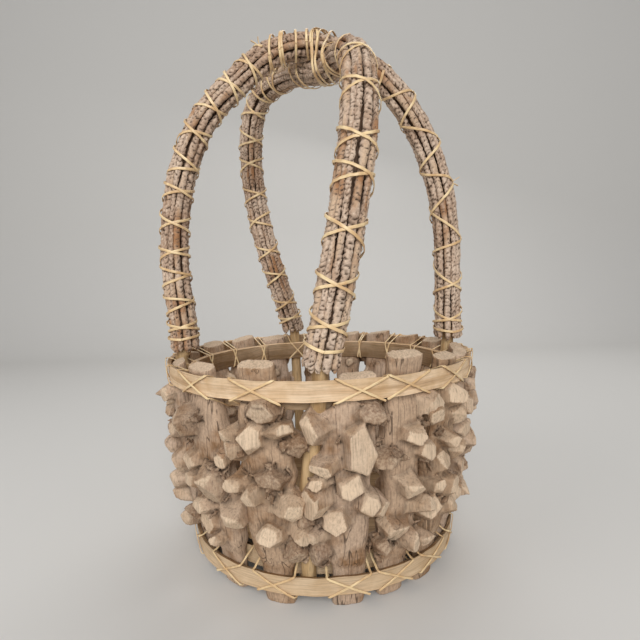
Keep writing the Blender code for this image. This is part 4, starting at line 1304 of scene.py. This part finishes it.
tube = add_node(tree, "GeometryNodeCurveToMesh", {
    "Curve": marked, "Profile Curve": with_sides(tree, round_line),
    "Scale": rounded, "Fill Caps": True})
print("nodes in the twig tree so far:", len(tree.nodes))

# %% [markdown]
# The rings rise slowly and drop at once, by a saw-tooth of the length. They point a little
# along the twig on two sides, like a plait, a noise bends them, and a cell pattern breaks
# them into scales. Another noise chooses where the bark has peeled, and only on some twigs.

# %% Add the bark rings
CHEVRON = 0.55
BEND = 1.8
RING_SWELL, RING_DROP = 0.55, 0.80
SCALE_SHARE = 0.6
PEEL_STRETCH = (0.35, 0.35, 0.085)
MIDDLE_RIDGE = 0.42
PEELED_HEIGHT = 0.25

run = add_node(tree, "GeometryNodeInputNamedAttribute", {"Name": "along"},
               data_type="FLOAT").outputs["Attribute"]
facing = add_node(tree, "GeometryNodeInputNamedAttribute", {"Name": "side"},
                  data_type="FLOAT_VECTOR").outputs["Attribute"]
rings = add_node(tree, "ShaderNodeMath", {0: run, 1: given["Ring spacing"]}, operation="DIVIDE")
spot = add_node(tree, "ShaderNodeVectorMath", {
    0: facing, 1: add_node(tree, "ShaderNodeCombineXYZ", {"Z": rings})}, operation="ADD")
bend = add_node(tree, "ShaderNodeTexNoise", {
    "Vector": spot, "W": own_seed, "Scale": 0.55, "Detail": 2.0}, noise_dimensions="4D")
split_side = add_node(tree, "ShaderNodeSeparateXYZ", {"Vector": facing})
chevron = add_node(tree, "ShaderNodeMath", {
    0: add_node(tree, "ShaderNodeMath", {0: split_side.outputs["X"]},
                operation="ABSOLUTE"), 1: CHEVRON, 2: rings}, operation="MULTIPLY_ADD")
phase = add_node(tree, "ShaderNodeMath", {0: bend, 1: BEND, 2: chevron}, operation="MULTIPLY_ADD")
saw = add_node(tree, "ShaderNodeMath", {0: phase}, operation="FRACT")
climb = add_node(tree, "ShaderNodeMath", {0: saw, 1: RING_SWELL}, operation="POWER")
drop = add_node(tree, "ShaderNodeMapRange", {
    "Value": saw, "From Min": RING_DROP, "From Max": 1.0, "To Min": 1.0, "To Max": 0.0},
    interpolation_type="SMOOTHSTEP")
ring = add_node(tree, "ShaderNodeMath", {0: climb, 1: drop}, operation="MULTIPLY")
scales = add_node(tree, "ShaderNodeTexVoronoi", {
    "Vector": spot, "W": own_seed, "Scale": 1.15, "Randomness": 0.8},
    voronoi_dimensions="4D")
scale_top = add_node(tree, "ShaderNodeMapRange", {
    "Value": scales.outputs["Distance"], "From Min": 0.10, "From Max": 0.80,
    "To Min": 1.0, "To Max": 0.0}, interpolation_type="SMOOTHSTEP")
ridge = add_node(tree, "ShaderNodeMix", {
    "Factor": SCALE_SHARE, 2: ring, 3: scale_top}, data_type="FLOAT")
peel_noise = add_node(tree, "ShaderNodeTexNoise", {
    "Vector": add_node(tree, "ShaderNodeVectorMath", {
        0: spot, 1: PEEL_STRETCH}, operation="MULTIPLY"),
    "W": own_seed, "Scale": 1.0}, noise_dimensions="4D")
bare = add_node(tree, "ShaderNodeMath", {
    0: add_node(tree, "ShaderNodeMapRange", {
        "Value": tag, "From Min": 0.60, "From Max": 0.80, "To Max": 0.16}),
    1: peel_noise}, operation="ADD")
peel = add_node(tree, "ShaderNodeMapRange", {"Value": bare, "From Min": 0.57, "From Max": 0.66})
keep_bark = add_node(tree, "ShaderNodeMapRange", {
    "Value": peel, "To Min": 1.0, "To Max": PEELED_HEIGHT})
lifted = add_node(tree, "ShaderNodeMath", {0: ridge, 1: MIDDLE_RIDGE}, operation="SUBTRACT")
height = add_node(tree, "ShaderNodeMath", {
    0: add_node(tree, "ShaderNodeMath", {0: lifted, 1: keep_bark},
                operation="MULTIPLY"), 1: given["Ring height"]}, operation="MULTIPLY")
shift = add_node(tree, "ShaderNodeVectorMath", {
    0: add_node(tree, "GeometryNodeInputNormal"),
    "Scale": height}, operation="SCALE")
shaped = tube
for label, value in (("ridge", ridge), ("peel", peel)):
    shaped = add_node(tree, "GeometryNodeStoreNamedAttribute", {
        "Geometry": shaped, "Name": label, "Value": value}, data_type="FLOAT", domain="POINT")
moved = add_node(tree, "GeometryNodeSetPosition", {"Geometry": shaped, "Offset": shift})
twig_tree = finish_tree(tree, moved, given["Bark"])

# %% [markdown]
# A path for the trees is a mesh of points joined in a row. Each point carries the direction
# that the strip or twig should face. The tree's inputs are found by name and set by their
# identifiers before the object is evaluated.

# %% Define how a path is swept
def path_mesh(name, lines):
    """A mesh of open lines: places, outward directions and a number from 0 to 1 for each."""
    places, outs, edges, tags = [], [], [], []
    for line, faces_out, tag in lines:
        first = len(places)
        tags += [tag] * len(line)
        for i, (place, out) in enumerate(zip(line, faces_out)):
            ahead = (line[min(i + 1, len(line) - 1)] - line[max(i - 1, 0)]).normalized()
            places.append(place)
            outs.append((out - ahead * out.dot(ahead)).normalized())
        edges += [(k, k + 1) for k in range(first, len(places) - 1)]
    mesh = bpy.data.meshes.new(name)
    mesh.from_pydata(places, edges, [])
    values = mesh.attributes.new("face_out", "FLOAT_VECTOR", "POINT").data
    values.foreach_set("vector", np.array([list(out) for out in outs]).ravel())
    mesh.attributes.new("tag", "FLOAT", "POINT").data.foreach_set("value", tags)
    return mesh


def sweep(name, lines, tree, values):
    """Run a tree over some lines and keep the plain mesh."""
    item = new_object(name, path_mesh(name, lines))
    modifier = item.modifiers.new("sweep", "NODES")
    modifier.node_group = tree
    for socket in tree.interface.items_tree:
        if socket.in_out == "INPUT" and socket.name in values:
            modifier[socket.identifier] = values[socket.name]
    settle(item)
    item.data.validate()
    return item


# %% [markdown]
# ## The twigs
# Each bundle is a ring of shoots round a core. Most twigs of the frame are one thick shoot,
# some are two slim ones side by side. They wander a little, are cut off unevenly, and their
# feet spread above the rim. The leaning handle's front leg is thickest a third of the way up.

# %% Define the line of a shoot
TWIG_STEP = 0.0009
THICK_SHOOT, SLIM_SHOOT = 0.0030, 0.0022
BARK_OUTSIDE = BUNDLE_RADIUS - TWIG_GAP
RING_SPACING = 0.0037
RING_HEIGHT = 0.0016
FLARE_LENGTH = 0.05
FOOT_DROP = 0.0048
FOOT_FLARE = 0.0020
SHOOT_TURN, SHOOT_WANDER = 0.18, 0.0008
LEAN_REACH = 0.016
LEAN_SHARE = 0.62
# Shares of a handle's length between which it comes close to the other one.
LEAN_FROM, LEAN_TO = 0.3, 0.75
LINE_STEPS = 240
# The thicker stretch of the front leg, in shares: where it is full, its end, and its fall.
SWELL_FULL, SWELL_END, SWELL_FALL = 0.12, 0.38, 0.16
FRONT_SWELL = 0.0016


def swollen(amount, share):
    """How much thicker a bundle is at a share of its length."""
    return amount * smooth(share / SWELL_FULL) * smooth((SWELL_END - share) / SWELL_FALL)


def leaned(place, out, others):
    """Where two bundles run close, the shoots between them reach over and close the gap."""
    nearest = min(others, key=lambda other: (other - place).length_squared)
    gap = (nearest - place).length - BUNDLE_RADIUS
    way = (nearest - place).normalized()
    facing = max(way.dot(out.normalized()), 0.0)
    fade = smooth((LEAN_REACH - gap) / LEAN_REACH * 2.0)
    return place + way * (max(gap, 0.0) * LEAN_SHARE * facing * fade)


def shoot_line(arch, others, turn, thickness, seed, dice, swell):
    """One shoot: its places, its outward directions and its own number."""
    flares = (dice.uniform(0.0, FOOT_FLARE), dice.uniform(0.0, FOOT_FLARE))
    line, faces_out = [], []
    for step in range(LINE_STEPS + 1):
        share = step / LINE_STEPS
        spot = Vector((share * 9.0, seed, turn * 5.0))
        angle = turn + SHOOT_TURN * noise.noise(spot)
        ends = (max(1.0 - share / FLARE_LENGTH, 0.0), max(1.0 - (1.0 - share) / FLARE_LENGTH, 0.0))
        radius = (BARK_OUTSIDE - thickness
                  + SHOOT_WANDER * noise.noise(spot * 1.6 + Vector((4.0, 0.0, 0.0)))
                  + flares[0] * ends[0] ** 2 + flares[1] * ends[1] ** 2
                  + swollen(swell, share))
        place = arch.at(share, radius * math.cos(angle), radius * math.sin(angle))
        out = place - arch.at(share)
        line.append(leaned(place, out, others) if LEAN_FROM < share < LEAN_TO else place)
        faces_out.append(out)
    for last, ahead in ((0, 1), (-1, -2)):
        line[last] = line[ahead] - Vector((0.0, 0.0, FOOT_DROP * dice.uniform(0.35, 1.0)))
    return line, faces_out, dice.random()


print("a shoot is about", THICK_SHOOT * 2000, "mm thick")

# %% [markdown]
# Now each twig of the frame gets its shoots. Ring spacing, ring height and thickness vary
# from twig to twig, as they do on branches of different ages.

# %% Sweep the twigs
faces = 0
for letter, arch, other, seed, swell in (("a", arch_a, arch_b, 11.0, 0.0),
                                         ("b", arch_b, arch_a, 23.0, FRONT_SWELL)):
    others = other.places[30:96]
    for number in range(TWIG_COUNT):
        dice = random.Random(seed * 10 + number)
        split = number % 3 == 1 if letter == "a" else number % 2 == 1
        thickness = SLIM_SHOOT if split else THICK_SHOOT * dice.uniform(0.93, 1.07)
        lines = [shoot_line(arch, others, 2 * math.pi * (number + half) / TWIG_COUNT,
                            thickness, seed, dice, swell)
                 for half in ((0.24, 0.76) if split else (0.5,))]
        twig = sweep(f"handle_{letter}_shoots_{number + 1}", lines, twig_tree,
                     {"Step": TWIG_STEP, "Radius": thickness,
                      "Ring spacing": RING_SPACING * dice.uniform(0.85, 1.2),
                      "Ring height": RING_HEIGHT * dice.uniform(0.6, 1.1),
                      "Seed": seed + number * 1.7, "Bark": twig_bark})
        keep_piece(twig, twig_bark, "twig_bark", f"handle_{letter}_twig_{number + 1}")
        faces += len(twig.data.polygons)
print("sixteen twig pieces,", faces, "faces")

# %% [markdown]
# ## A tree for flat strips and round sticks
# The cane is a flat strip that bends and twists with what it binds, so its wide side has to
# stay on the bundle. The same sweep makes the peeled core sticks: the section is a rectangle
# with rounded corners, and a stick is one whose corners meet.

# %% Build the strip tree
UNEVEN_PITCH = 160.0

tree, given = start_tree("strip with rounded edges", (
    ("Path", "NodeSocketGeometry"), ("Step", "NodeSocketFloat"), ("Width", "NodeSocketFloat"),
    ("Thickness", "NodeSocketFloat"), ("Corner", "NodeSocketFloat"),
    ("Corner points", "NodeSocketInt"), ("Unevenness", "NodeSocketFloat"),
    ("Finish", "NodeSocketMaterial")))
section = add_node(tree, "GeometryNodeCurvePrimitiveQuadrilateral", {
    0: given["Thickness"], 1: given["Width"]})
eased = add_node(tree, "GeometryNodeFilletCurve", {
    "Curve": section, "Count": given["Corner points"], "Radius": given["Corner"],
    "Limit Radius": True}, mode="POLY")
swept = add_node(tree, "GeometryNodeCurveToMesh", {
    "Curve": swept_path(tree, given)[0],
    "Profile Curve": with_sides(tree, eased), "Fill Caps": True})
run = add_node(tree, "GeometryNodeInputNamedAttribute", {"Name": "along"},
               data_type="FLOAT").outputs["Attribute"]
side = add_node(tree, "GeometryNodeInputNamedAttribute", {"Name": "side"},
                data_type="FLOAT_VECTOR").outputs["Attribute"]
split_side = add_node(tree, "ShaderNodeSeparateXYZ", {"Vector": side})
unrolled = add_node(tree, "ShaderNodeCombineXYZ", {
    "X": run, "Y": split_side.outputs["Y"], "Z": split_side.outputs["X"]})
kept = add_node(tree, "GeometryNodeStoreNamedAttribute", {
    "Geometry": swept, "Name": "strip", "Value": unrolled},
    data_type="FLOAT_VECTOR", domain="POINT")
wander = add_node(tree, "ShaderNodeTexNoise", {
    "Vector": add_node(tree, "GeometryNodeInputPosition"),
    "Scale": UNEVEN_PITCH, "Detail": 2.0})
centred = add_node(tree, "ShaderNodeVectorMath", {
    0: wander.outputs["Color"], 1: (0.5, 0.5, 0.5)}, operation="SUBTRACT")
offset = add_node(tree, "ShaderNodeVectorMath", {
    0: centred, "Scale": given["Unevenness"]}, operation="SCALE")
moved = add_node(tree, "GeometryNodeSetPosition", {"Geometry": kept, "Offset": offset})
strip_tree = finish_tree(tree, moved, given["Finish"])

# %% [markdown]
# ## Core sticks
# The core of each handle shows where it runs down in the wall, between two stakes. Up in the
# bundle it is painted dark brown as shade, no more than a dark line behind the twigs.

# %% Sweep the core sticks
CORE_END = 0.014
CORE_LEAN_DROP = 0.115
FRONT_LEAN_ANGLE = -6.5
CORE_STEPS = 24
CORE_BOW = 0.0005
CORE_STEP, CORE_UNEVENNESS = 0.004, 0.0010


def core_foot_line(angle, lean):
    """Places of a core stick in the wall, from its lower end up to the handle's foot."""
    line = []
    for step in range(CORE_STEPS):
        height = CORE_END + (HANDLE_FOOT - CORE_END) * step / CORE_STEPS
        here = angle + (lean - angle) * smooth((HANDLE_FOOT - height) / CORE_LEAN_DROP)
        bow = CORE_BOW * noise.noise(Vector((height * 30, angle, 0.0)))
        line.append(polar(here, slot_middle(height) + bow, height))
    return line


for letter, arch, first, last, lean in (("a", arch_a, LEFT_ANGLE, RIGHT_ANGLE, LEFT_ANGLE),
                                        ("b", arch_b, FRONT_ANGLE, REAR_ANGLE, FRONT_LEAN_ANGLE)):
    over = [arch.at(step / (STATIONS - 1)) for step in range(STATIONS)]
    line = core_foot_line(first, lean) + over + list(reversed(core_foot_line(last, last)))
    faces_out = [Vector((place.x, place.y, 0.08)) for place in line]
    core = sweep(f"handle_{letter}_peeled_core", [(line, faces_out, 0.0)], strip_tree,
                 {"Step": CORE_STEP, "Width": 2 * CORE_RADIUS, "Thickness": 2 * CORE_RADIUS,
                  "Corner": CORE_RADIUS * 0.98, "Corner points": 5,
                  "Unevenness": CORE_UNEVENNESS, "Finish": plain_woods["peeled willow stick"]})
    keep_piece(core, plain_woods["peeled willow stick"], "core_wood", f"handle_{letter}_core")
    print(core.name, len(core.data.polygons), "faces")

# %% [markdown]
# ## Cane on the legs
# A lashing is one strand that winds up a leg and comes down again, still turning the same
# way, so that its two runs cross in front and behind. The crossings are not even: they are
# listed for each leg as shares of the handle's length, and two that nearly meet make a
# level wrap. The strand lies on the twigs and its crossings lie on each other.

# %% List the crossings on the legs
CANE_WIDTH = 0.0023
CANE_THICKNESS = 0.0007
CANE_LIFT = 0.0006
CANE_STEP = 0.0012
CANE_UNEVENNESS = 0.0009
CANE_FLARE = 0.0018
TURN_STEPS = 16
TURN_SKEW = 0.16
TAIL_STEPS = 12
# Leg: handle, where round the bundle the runs cross (in turns), and the crossings' shares.
LEG_CROSSINGS = {
    "left": ("a", 0.25, (0.016, 0.032, 0.065, 0.101, 0.132, 0.170, 0.213, 0.247, 0.292, 0.335,
                         0.375, 0.410, 0.438)),
    "right": ("a", 0.25, (0.990, 0.972, 0.922, 0.858, 0.779, 0.722, 0.653, 0.604)),
    "front": ("b", 0.0, (0.017, 0.041, 0.080, 0.132, 0.186, 0.218, 0.275, 0.325, 0.375)),
    "rear": ("b", 0.0, (0.984, 0.965, 0.925, 0.880, 0.835, 0.792, 0.748, 0.704, 0.662, 0.622,
                        0.580, 0.545)),
}
# How far each crossing lies from the middle of its leg, in turns: most are near an edge.
LEG_SHIFTS = {
    "left": (0.0, 0.0, 0.19, 0.18, 0.0, 0.0, 0.06, 0.19, 0.0, 0.1, 0.0, 0.0, 0.0),
    "right": (0.0, 0.05, 0.0, -0.18, -0.19, -0.20, -0.20, -0.05),
    "front": (0.0, 0.0, 0.0, 0.0, 0.106, 0.0, 0.0, 0.0, 0.04),
    "rear": (0.0,) * 12,
}
print("crossings listed:", sum(len(shifts) for shifts in LEG_SHIFTS.values()))

# %% [markdown]
# A place on a bundle's skin follows from a share of its length and a turn. The run up and
# the run down are two lists of such places, and the second lies on the first.

# %% Define how a strand winds
arches = {"a": arch_a, "b": arch_b}
bulges = {"front": FRONT_SWELL}


def bundle_place(arch, share, turn, lift, bulge):
    """A place on a bundle's skin at a share and a turn, and the way out from there."""
    foot = max(1.0 - min(share, 1.0 - share) / FLARE_LENGTH, 0.0)
    radius = BUNDLE_RADIUS + lift + swollen(bulge, share) + CANE_FLARE * foot ** 2
    place = arch.at(share, radius * math.cos(turn), radius * math.sin(turn))
    return place, place - arch.at(share)


def leg_lines(leg, dice):
    """The strand that winds up a leg and the one that comes down over it."""
    handle, phase, shares = LEG_CROSSINGS[leg]
    shifts = LEG_SHIFTS[leg]
    lines = []
    for hand, lift in ((1, CANE_LIFT), (-1, CANE_LIFT + CANE_THICKNESS)):
        line, faces_out = [], []
        for k, (low, high) in enumerate(zip(shares, shares[1:])):
            skew = dice.uniform(-TURN_SKEW, TURN_SKEW)
            for step in range(TURN_STEPS):
                t = step / TURN_STEPS
                share = low + (high - low) * (t + skew * math.sin(math.pi * t) ** 2)
                turn = 2 * math.pi * (phase + hand * (k + t)
                                      + shifts[k] * (1 - t) + shifts[k + 1] * t)
                place, out = bundle_place(arches[handle], share, turn, lift, bulges.get(leg, 0.0))
                line.append(place)
                faces_out.append(out)
        lines.append((line, faces_out, 0.0))
    return lines


def wind(name, lines, width, *nodes):
    """Sweep cane along some lines and keep it as one piece."""
    piece = sweep(name, lines, strip_tree, {
        "Step": CANE_STEP, "Width": width, "Thickness": CANE_THICKNESS,
        "Corner": CANE_THICKNESS * 0.42, "Corner points": 2,
        "Unevenness": CANE_UNEVENNESS, "Finish": cane_skin})
    print(name, len(piece.data.polygons), "faces")
    return keep_piece(piece, cane_skin, "cane", *nodes)


def cane_tail(arch, share, turn, length, lean):
    """A loose end of cane: it leaves the bundle's skin and sticks out."""
    foot, out = bundle_place(arch, share, 2 * math.pi * turn, 0.0, 0.0)
    ahead = (arch.at(share + 0.01) - arch.at(share)).normalized()
    out.normalize()
    line = [foot + out * (length * t) + ahead * (lean * t ** 1.5)
            for t in (step / TAIL_STEPS for step in range(TAIL_STEPS + 1))]
    return line, [ahead] * len(line), 0.0


print("a strand is", CANE_WIDTH * 1000, "mm wide")

# %% [markdown]
# Each leg gets its two runs as one piece, and two of them the loose ends that stick out.

# %% Wind the legs
# Loose ends seen in the picture: share, turn, length and lean along the handle.
TAILS = {"right": ((0.779, 0.02, 0.0085, -0.002), (0.781, 0.0, 0.0065, 0.004)),
         "left": ((0.436, 0.02, 0.0060, -0.003), (0.438, 0.05, 0.0050, 0.002))}
for leg, (handle, _, _) in LEG_CROSSINGS.items():
    lines = leg_lines(leg, random.Random(len(leg) * 7))
    lines += [cane_tail(arches[handle], *tail) for tail in TAILS.get(leg, ())]
    wind(f"{leg}_leg_cane", lines, CANE_WIDTH, f"{leg}_leg_lashing")

# %% [markdown]
# ## Cane at the crown
# Where the handles cross, the strand goes round both. A taut strand bridges the hollows, so
# its path is the convex outline of the bundles in a plane, a little way out. Each loop names
# the handles that it binds, the direction that its plane faces and its place along it.

# %% List the loops of the crown
CROWN_REACH = 0.060
CROWN_SLACK = 0.0006
SLAB = 0.004
CLOUD_STEPS = 480
LOOP_STEPS = 90
LOOP_LAP = 1.04
LOOP_RISE = 0.0007
CROWN_LOOPS = (("a", 80, -0.048), ("a", 84, -0.041), ("a", 83, -0.0385), ("a", 94, -0.030),
               ("a", 86, -0.018), ("a", 98, -0.012), ("ab", 68, -0.006), ("ab", 60, 0.002),
               ("ab", 72, 0.007), ("a", 97, 0.022), ("a", 103, 0.034), ("ab", 55, -0.001),
               ("b", 40, 0.024), ("b", 28, 0.033), ("b", 38, -0.026), ("b", 28, -0.036))
clouds = {}
for letter, arch in arches.items():
    clouds[letter] = [bundle_place(arch, step / CLOUD_STEPS, math.pi * k / 16, 0.0, 0.0)[0]
                      for step in range(CLOUD_STEPS + 1) for k in range(32)
                      if (arch.at(step / CLOUD_STEPS) - crossing).length < CROWN_REACH]
print("loops at the crown:", len(CROWN_LOOPS))

# %% [markdown]
# Points of a bundle's skin near a loop's plane are cut out, and the strand is drawn round
# their outline. Its end laps over its start and lies a little further out there.

# %% Wind the crown
def taut_outline(points):
    """The convex outline of points in a plane, in order."""
    points = sorted(set(points))
    halves = []
    for run in (points, points[::-1]):
        half = []
        for point in run:
            while len(half) > 1 and ((half[-1][0] - half[-2][0]) * (point[1] - half[-2][1])
                                     - (half[-1][1] - half[-2][1])
                                     * (point[0] - half[-2][0])) <= 0:
                half.pop()
            half.append(point)
        halves += half[:-1]
    return halves


def crown_loop(letters, facing, distance, lift):
    """One taut loop round one or both bundles; its plane is upright and faces one way."""
    heart = crossing - Vector((0.0, 0.0, CROSSING_DROP / 2))
    normal = polar(facing, 1.0, 0.0)
    across = polar(facing + 90.0, 1.0, 0.0)
    section = [(round((p - heart).dot(across), 5), round(p.z - heart.z, 5))
               for letter in letters for p in clouds[letter]
               if abs((p - heart).dot(normal) - distance) < SLAB]
    outline = np.array(taut_outline(section))
    closed = np.vstack((outline, outline[:1]))
    run = run_along(closed)
    even = np.linspace(0.0, run[-1] * LOOP_LAP, LOOP_STEPS)
    flat = read_at(even % run[-1], run, closed)
    tangents = np.gradient(flat, axis=0)
    soften(tangents, 6)
    soften(flat, 6)
    line, faces_out = [], []
    for i, ((x, y), (ahead_x, ahead_y)) in enumerate(zip(flat, tangents)):
        out = (across * float(ahead_y) - Vector((0.0, 0.0, float(ahead_x)))).normalized()
        rise = lift + CROWN_SLACK + LOOP_RISE * i / LOOP_STEPS
        line.append(heart + normal * distance + across * float(x)
                    + Vector((0.0, 0.0, float(y))) + out * rise)
        faces_out.append(out)
    return line, faces_out, 0.0


crown_lines = [crown_loop(*loop, CANE_LIFT * (1.0 + 0.5 * (k % 3)))
               for k, loop in enumerate(CROWN_LOOPS)]
wind("crown_cane", crown_lines, CANE_WIDTH * 0.9, "crown_lashing")

# %% [markdown]
# ## Cane on the hoops
# On each pair of hoops two strands run in opposite ways. In front of a stake each crosses the
# outer hoop, and between two stakes it goes over the edge and back inside the inner hoop.

# %% Wind the hoops
HOOP_CANE_WIDTH = 0.0017
HOOP_CANE_STEP = 0.0006
# Half the width of a crossing in degrees, and how much it and its place vary.
CROSS_HALF, CROSS_VARY, PLACE_VARY = 7.6, 0.5, 0.8
CROSS_STEPS = 6
# The strand that runs the other way lies on the first.
LOWER_LIFT, UPPER_LIFT = 0.0005, 0.0011


def hoop_line(lower, upper, inner_lower, inner_upper, hand, lift, dice):
    """Corner places of one strand, softened into a taut line."""
    corners, outs = [], []
    middle = (lower + upper) / 2
    share = (middle - BASE_MIDDLE) / (RIM_MIDDLE - BASE_MIDDLE)
    owns = [foot + (top - foot) * share for top, foot in (stake[:2] for stake in STAKES)]
    order = [(1 + i) % len(STAKES) for i in range(len(STAKES))]
    order = order[::-1] if hand < 0 else order

    def put(angle, radius, height, out, up):
        corners.append(polar(angle, radius, height))
        outs.append(polar(angle, out, up))

    for index in order:
        own = owns[index] + dice.uniform(-PLACE_VARY, PLACE_VARY)
        edge = CROSS_HALF + dice.uniform(-CROSS_VARY, CROSS_VARY)
        for step in range(CROSS_STEPS + 1):
            t = step / CROSS_STEPS
            height = lower - lift + (upper - lower + 2 * lift) * t
            put(own + hand * edge * (2 * t - 1), wall_radius(height) + lift, height, 1.0, 0.0)
        angle = own + hand * edge
        put(angle, wall_radius(upper) - HOOP_THICKNESS / 2, upper + lift, 0.0, 1.0)
        inner_face = wall_radius(inner_upper) - HOOP_THICKNESS - SLOT_WIDTH
        put(angle, inner_face - HOOP_THICKNESS / 2, inner_upper + lift, 0.0, 1.0)
        put(angle, inner_face - HOOP_THICKNESS - lift, inner_upper, -1.0, 0.0)
        next_own = owns[(index + hand) % len(STAKES)] - hand * edge
        inner_face = wall_radius(inner_lower) - HOOP_THICKNESS - SLOT_WIDTH
        put(next_own, inner_face - HOOP_THICKNESS - lift, inner_lower, -1.0, 0.0)
        put(next_own, inner_face - HOOP_THICKNESS / 2, inner_lower - lift, 0.0, -1.0)
        put(next_own, wall_radius(lower) - HOOP_THICKNESS / 2, lower - lift, 0.0, -1.0)
    corners, outs = corners[:-3], outs[:-3]
    places = np.array([list(corner) for corner in corners])
    directions = np.array([list(out) for out in outs])
    run = run_along(places)
    even = np.arange(0.0, run[-1], HOOP_CANE_STEP)
    line, facing = read_at(even, run, places), read_at(even, run, directions)
    soften(line, 3)
    soften(facing, 3)
    return [Vector(p) for p in line], [Vector(f) for f in facing], 0.0


for hoop, lower, width, inner_lower, inner_width in (
        ("rim", RIM_TOP - RIM_WIDTH, RIM_WIDTH, RIM_INNER_TOP - RIM_INNER_WIDTH, RIM_INNER_WIDTH),
        ("base", BASE_BOTTOM, BASE_WIDTH, BASE_INNER_BOTTOM, BASE_INNER_WIDTH)):
    for letter, hand, lift in (("a", 1, LOWER_LIFT), ("b", -1, UPPER_LIFT)):
        dice = random.Random(ord(letter) + len(hoop))
        line = hoop_line(lower, lower + width, inner_lower, inner_lower + inner_width, hand,
                         lift, dice)
        wind(f"{hoop}_cane_{letter}", [line], HOOP_CANE_WIDTH, f"{hoop}_lashing_{letter}")

# %% [markdown]
# ## The floor
# The floor can't be seen in the picture. It is a round sawn board with eased edges that sits
# just inside the stakes, as wide and thick as the frame's board. A turned profile makes it,
# with a slight cup and rings close enough to let the edge waver like a hand-sawn one.

# %% Make the floor board
FLOOR_SEGMENTS = 96
FLOOR_EASE = 0.0008
FLOOR_CUP = 0.0004
FLOOR_WAVER = 0.0006
FLOOR_RINGS = (0.3, 0.65, 1.0)
SHARP_ANGLE = 35

low, high = (Vector(corner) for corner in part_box("floor_board"))
floor_radius = (high.x - low.x) / 2
inner = floor_radius - FLOOR_EASE
profile = [(share * inner, low.z + FLOOR_CUP * share ** 2) for share in FLOOR_RINGS]
profile += [(floor_radius, low.z + FLOOR_EASE), (floor_radius, high.z - FLOOR_EASE)]
profile += [(share * inner, high.z - FLOOR_CUP * (1 - share ** 2))
            for share in reversed(FLOOR_RINGS)]
places, faces = [], []
for radius, height in profile:
    for step in range(FLOOR_SEGMENTS):
        angle = 360.0 * step / FLOOR_SEGMENTS
        wave = noise.noise(Vector((math.cos(math.radians(angle)) * 4,
                                   math.sin(math.radians(angle)) * 4, 7.0)))
        places.append(polar(angle, radius - FLOOR_WAVER * abs(wave) * radius / floor_radius,
                            height))
for row in range(len(profile) - 1):
    for step in range(FLOOR_SEGMENTS):
        ahead = (step + 1) % FLOOR_SEGMENTS
        first, second = row * FLOOR_SEGMENTS, (row + 1) * FLOOR_SEGMENTS
        faces.append((first + step, first + ahead, second + ahead, second + step))
for row, height in ((0, low.z), (len(profile) - 1, high.z - FLOOR_CUP)):
    places.append(Vector((0.0, 0.0, height)))
    rim = [row * FLOOR_SEGMENTS + step for step in range(FLOOR_SEGMENTS)]
    for here, ahead in zip(rim, rim[1:] + rim[:1]):
        corner = (ahead, here) if row == 0 else (here, ahead)
        faces.append((*corner, len(places) - 1))
mesh = bpy.data.meshes.new("sawn_floor")
mesh.from_pydata(places, [], faces)
board = new_object("sawn_floor", mesh)
mesh.set_sharp_from_angle(angle=math.radians(SHARP_ANGLE))
keep_piece(board, plain_woods["sawn pine board"], "floor_wood", "floor_board")
print("floor board", round(floor_radius * 2000, 1), "mm across")

# %% [markdown]
# ## Floor and light
# The basket stands on a plain pale sweep: a sheet that curves up behind it without a corner,
# so no line crosses the background. It belongs to the stage and not to the basket.

# %% Make the stage
FLOOR_HALF = 3.0
SWEEP_RADIUS = 0.5
SWEEP_START = 1.1
SWEEP_STEPS = 16

paper, tree = start_material("matt backdrop paper", 0.95, 0.1)
tree.nodes["Principled BSDF"].inputs["Base Color"].default_value = colour("d6d4d0")
profile = [(-FLOOR_HALF, 0.0), (SWEEP_START, 0.0)]
for step in range(1, SWEEP_STEPS + 1):
    turn = math.pi / 2 * step / SWEEP_STEPS
    profile.append((SWEEP_START + SWEEP_RADIUS * math.sin(turn),
                    SWEEP_RADIUS * (1 - math.cos(turn))))
profile.append((SWEEP_START + SWEEP_RADIUS, FLOOR_HALF))
mesh = bpy.data.meshes.new("backdrop")
corners = [(x, y, z) for y, z in profile for x in (-FLOOR_HALF, FLOOR_HALF)]
faces = [(2 * i, 2 * i + 1, 2 * i + 3, 2 * i + 2) for i in range(len(profile) - 1)]
mesh.from_pydata(corners, [], faces)
mesh.materials.append(paper)
mesh.shade_smooth()
backdrop = new_object("backdrop", mesh)
print("the sweep starts", SWEEP_START, "m behind the basket")

# %% [markdown]
# One broad soft lamp lights the basket from the front and above, as in the picture. A weak
# one fills its left side and another its back, and a pale room lights the hollows.

# %% Light it
AIM_HEIGHT = 0.2
ROOM_LIGHT = 0.29
# Name, place in metres, size in metres and power in watts.
LAMPS = (("key", (0.10, -2.6, 1.5), 1.5, 64.0), ("fill", (-1.3, -0.7, 0.8), 1.0, 5.0),
         ("back", (0.3, 1.0, 1.3), 1.0, 7.0))
for name, place, size, power in LAMPS:
    lamp = bpy.data.lights.new(name, "AREA")
    lamp.size = size
    lamp.energy = power
    light = bpy.data.objects.new(name, lamp)
    bpy.context.scene.collection.objects.link(light)
    light.location = place
    aim = Vector((0.0, 0.0, AIM_HEIGHT)) - Vector(place)
    light.rotation_euler = aim.to_track_quat("-Z", "Y").to_euler()
world = bpy.data.worlds.new("room")
bpy.context.scene.world = world
world.use_nodes = True
world.node_tree.nodes["Background"].inputs["Color"].default_value = colour("f4f4f6")
world.node_tree.nodes["Background"].inputs["Strength"].default_value = ROOM_LIGHT
bpy.context.scene.view_settings.view_transform = "Standard"
print("lamps:", len(LAMPS))
